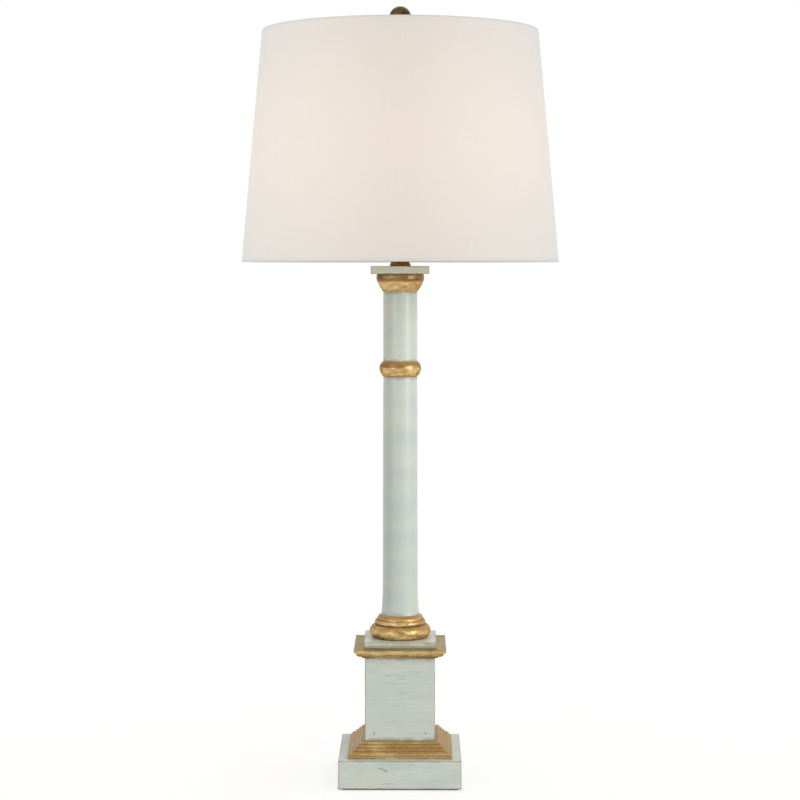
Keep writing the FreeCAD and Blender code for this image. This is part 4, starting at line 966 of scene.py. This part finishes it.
# Seam spans paint glaze and the shade where parts meet; the ring's (11.5, 15.4) and the capital's
# (12.5, 20.6) paint shade over their upper halves.
for name, corners, node, gilt, wave, wave_length, seed, glaze_and_shade_spans in (
        ("gilded_column_base", base_outline, "column_base", True, 0.42, 9, 31, [(0, 0.4)]),
        ("painted_shaft", shaft_outline, "column_shaft", False, 0.10, 30, 32,
         [(11.5, 12.2), (289.2, 290)]),
        ("gilded_ring", ring_outline, "shaft_ring", True, 0.34, 9, 33, [(0, 0.2), (11.5, 15.4)]),
        ("painted_necking", necking_outline, "column_necking", False, 0.08, 30, 34,
         [(0, 0.2), (80.5, 81)]),
        ("gilded_capital", capital_outline, "capital", True, 0.34, 9, 35, [(12.5, 20.6)])):
    part = turn_part(name, corners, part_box(node)[0].z, gilding if gilt else painted_wood, wave,
                     wave_length, seed, columns=128, glaze_and_shade_spans=glaze_and_shade_spans)
    hand_over(part, "column", "gilded_wood" if gilt else "painted_wood", node)

# %% [markdown]
# ## Brass cone and finial
# The cone is spun from sheet brass, with a rolled lip at its foot. The finial is turned from bar:
# a foot, a cove, a bead and a ball, with the file marks a hand finisher leaves on the ball.

# %% Brass parts
cone_outline = [(11.4, 0), (12.2, 0), (12.2, 1.0), (7.6, 12.3), (7.6, 13.0), (5.0, 13.0),
                (5.0, 11.6), (6.3, 11.6), (11.4, 1.0)]
finial_outline = [(3.15, 0), (8, 0), (8, 2, 6, "hollow"), (4.9, 7), (4.9, 10, 2.3), (4.9, 13.5),
                  (4.6, 18.455, 12.8), (0, 43.2), (0, 13.5), (3.15, 13.5)]
for name, corners, node, body, seed in (
        ("spun_brass_cone", cone_outline, "neck_cap", "column", 41),
        ("turned_ball_finial", finial_outline, "finial", "finial", 42)):
    part = turn_part(name, corners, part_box(node)[0].z, antique_brass, 0.05, 9, seed)
    hand_over(part, body, "antique_brass", node)

# %% [markdown]
# ## Screw threads
# The bulb's cap and the stud under the finial are threaded. A thread is one ridge that climbs in a
# helix, so a spiral with a small round section makes it, and the turns, pitch and radius are
# inputs. Both ridges stay inside the part they screw into.

# %% Thread tree
thread_tree, given = open_tree("screw_thread", "Blank", {
    "Turns": 4.0, "Height": 0.014, "Radius": 0.013, "Foot": 0.65, "Ridge": 0.0005})
helix = add_node(thread_tree, "GeometryNodeCurveSpiral",
                 {"Rotations": given["Turns"], "Start Radius": given["Radius"],
                  "End Radius": given["Radius"], "Height": given["Height"], "Resolution": 40})
section = add_node(thread_tree, "GeometryNodeCurvePrimitiveCircle",
                   {"Radius": given["Ridge"], "Resolution": 8})
ridge = add_node(thread_tree, "GeometryNodeCurveToMesh",
                 {"Curve": helix, "Profile Curve": section, "Fill Caps": True})
lift = add_node(thread_tree, "ShaderNodeCombineXYZ", {"Z": given["Foot"]})
stood = add_node(thread_tree, "GeometryNodeTransform", {"Geometry": ridge, "Translation": lift})
close_tree(thread_tree, given, stood)

# %% Threads on the bulb cap and the stud
# node, body, slot, then radius, pitch, height of its first turn over the node's foot, and height
THREADS = {
    "bulb_cap_thread": ("bulb_cap", "bulb", "cap_aluminium", 13.1, 3.63, 6.0, 16.0),
    "harp_stud_thread": ("harp_stud", "harp", "antique_brass", 3.02, 0.94, 9.4, 11.0)}
for name, (node, body, slot, radius, pitch, first, height) in THREADS.items():
    thread = new_piece(name, bpy.data.meshes.new(name))
    run_tree(thread, thread_tree, {
        "Turns": height / pitch, "Height": height / 1000, "Radius": radius / 1000,
        "Foot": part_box(node)[0].z + first / 1000, "Ridge": pitch / 10000,
        "Finish": finish_of_slot[slot]})
    close_and_smooth(thread)
    hand_over(thread, body, slot)

# %% [markdown]
# ## Fluted switch knob
# The turn switch has a small moulded knob with flutes that the fingers grip. The knob's core comes
# off the lathe, a second tree stands a slim rib on every point of a circle round it, and the whole
# is then turned to face the front.

# %% Flute tree
flute_tree, given = open_tree("flute_ring", "Core", {
    "Flutes": 20, "Ring radius": 0.0059, "Flute radius": 0.0007, "Length": 0.011, "Foot": 0.001})
ring = add_node(flute_tree, "GeometryNodeMeshCircle",
                {"Vertices": given["Flutes"], "Radius": given["Ring radius"]})
rib = add_node(flute_tree, "GeometryNodeMeshCylinder",
               {"Radius": given["Flute radius"], "Depth": given["Length"], "Vertices": 8})
ribs = add_node(flute_tree, "GeometryNodeInstanceOnPoints", {"Points": ring, "Instance": rib})
middle = add_node(flute_tree, MATH, [given["Length"], 0.5, given["Foot"]], operation="MULTIPLY_ADD")
lift = add_node(flute_tree, "ShaderNodeCombineXYZ", {"Z": middle})
stood = add_node(flute_tree, "GeometryNodeTransform", {"Geometry": ribs, "Translation": lift})
both = add_node(flute_tree, "GeometryNodeJoinGeometry")
for part in (given["Core"], stood):
    set_inputs(both, [part])
close_tree(flute_tree, given, both)

# %% Knob
knob_low, knob_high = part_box("switch_knob")
knob_outline = [(2.25, 0), (5.9, 0), (5.9, 8), (5.3, 13.8), (4.2, 15), (0, 15), (0, 13.6),
                (2.25, 13.6)]
knob = turn_part("fluted_switch_knob", knob_outline, 0.0, phenolic, 0.0, 10, 51, columns=64)
run_tree(knob, flute_tree, {"Flutes": 20, "Ring radius": 0.0058, "Flute radius": 0.0006,
                            "Length": 0.012, "Foot": 0.0008, "Finish": phenolic})
knob_seat = Vector((0, knob_high.y, (knob_low.z + knob_high.z) / 2))
knob.data.transform(Matrix.Translation(knob_seat) @ Matrix.Rotation(math.radians(90), 4, "X"))
close_and_smooth(knob)
hand_over(knob, "switch", "moulded_phenolic", "switch_knob")

# %% [markdown]
# ## Linen shade
# The shade is one sheet of linen, cut as part of a ring, laminated on its liner and rolled round
# the wire ring at each end, where it is turned in and glued. Its ends lap by 12 mm at the back. So
# it is one surface that starts inside the foot, rolls round the lower ring, climbs the wall, rolls
# round the upper ring and ends inside the crown, and Solidify gives the cloth its thickness. Where
# a ring lies behind the cloth no light comes through, which makes the grey line along each edge.

# %% Section of the cloth
SHADE_FOOT, SHADE_TOP = 0.6000, 0.8665
FOOT_RADIUS, CROWN_RADIUS = 0.1840, 0.1600
CLOTH = 0.0005       # thickness in metres
ROLL = [(2.6, 7.4), (3.9, 6.0), (4.9, 4.3), (5.4, 2.9), (5.2, 1.6), (4.5, 0.7), (3.5, 0.3),
        (2.2, 0.12), (1.3, 0.12), (0.85, 0.35), (0.66, 0.85), (0.62, 1.6)]     # inset, height in mm
WALL_INSET, WALL_START = ROLL[-1]
WALL_ROWS = 22

top_edge = (SHADE_TOP - SHADE_FOOT) * 1000
wall_height = top_edge - 2 * WALL_START
profile = ROLL + [(WALL_INSET, WALL_START + wall_height * k / WALL_ROWS)
                  for k in range(1, WALL_ROWS)]
profile += [(inset, top_edge - up) for inset, up in reversed(ROLL)]


def wall_radius(up_mm):
    """Outside radius of the wall at a height over the foot, in metres."""
    return FOOT_RADIUS + (CROWN_RADIUS - FOOT_RADIUS) * up_mm / top_edge


print("section of the cloth:", len(profile), "points")

# %% Cloth rolled round, with its lap
MIDDLE_RADIUS = 0.172     # metres, half way up
LAP = 0.012               # metres
LAP_RISE = 0.02           # radians before the lap in which the cloth climbs over its other end
LAP_GAP = 0.0001          # metres of glue in the lap
COLUMNS = 320
BACK = math.radians(90)

verts, uvs = [], []
run = 0.0
for row, (inset, up) in enumerate(profile):
    if row:
        run += math.dist((inset, up), profile[row - 1]) / 1000
    for column in range(COLUMNS + 1):
        angle = (2 * math.pi + LAP / MIDDLE_RADIUS) * column / COLUMNS
        climbed = min(max((angle - 2 * math.pi + LAP_RISE) / LAP_RISE, 0), 1)
        radius = wall_radius(up) - inset / 1000 + climbed * (CLOTH + LAP_GAP)
        verts.append((radius * math.cos(BACK + angle), radius * math.sin(BACK + angle),
                      SHADE_FOOT + up / 1000))
        uvs.append((angle * MIDDLE_RADIUS, run))
faces = []
for row in range(len(profile) - 1):
    for column in range(COLUMNS):
        a = row * (COLUMNS + 1) + column
        faces.append((a, a + 1, a + COLUMNS + 2, a + COLUMNS + 1))
cloth_mesh = bpy.data.meshes.new("linen_shade_cover")
cloth_mesh.from_pydata(verts, [], faces)
layer = cloth_mesh.uv_layers.new(name="cloth")
for loop in cloth_mesh.loops:
    layer.data[loop.index].uv = uvs[loop.vertex_index]
cloth_mesh.materials.append(linen)
cloth_mesh.shade_smooth()
cloth = new_piece("linen_shade_cover", cloth_mesh)

# %% Thickness and hand over
thick = cloth.modifiers.new("cloth_thickness", "SOLIDIFY")
thick.thickness, thick.offset = CLOTH, -1
thick.use_even_offset = False
plain_mesh(cloth)
hand_over(cloth, "shade", "linen", "shade_fabric", "shade_top_hem", "shade_bottom_hem")
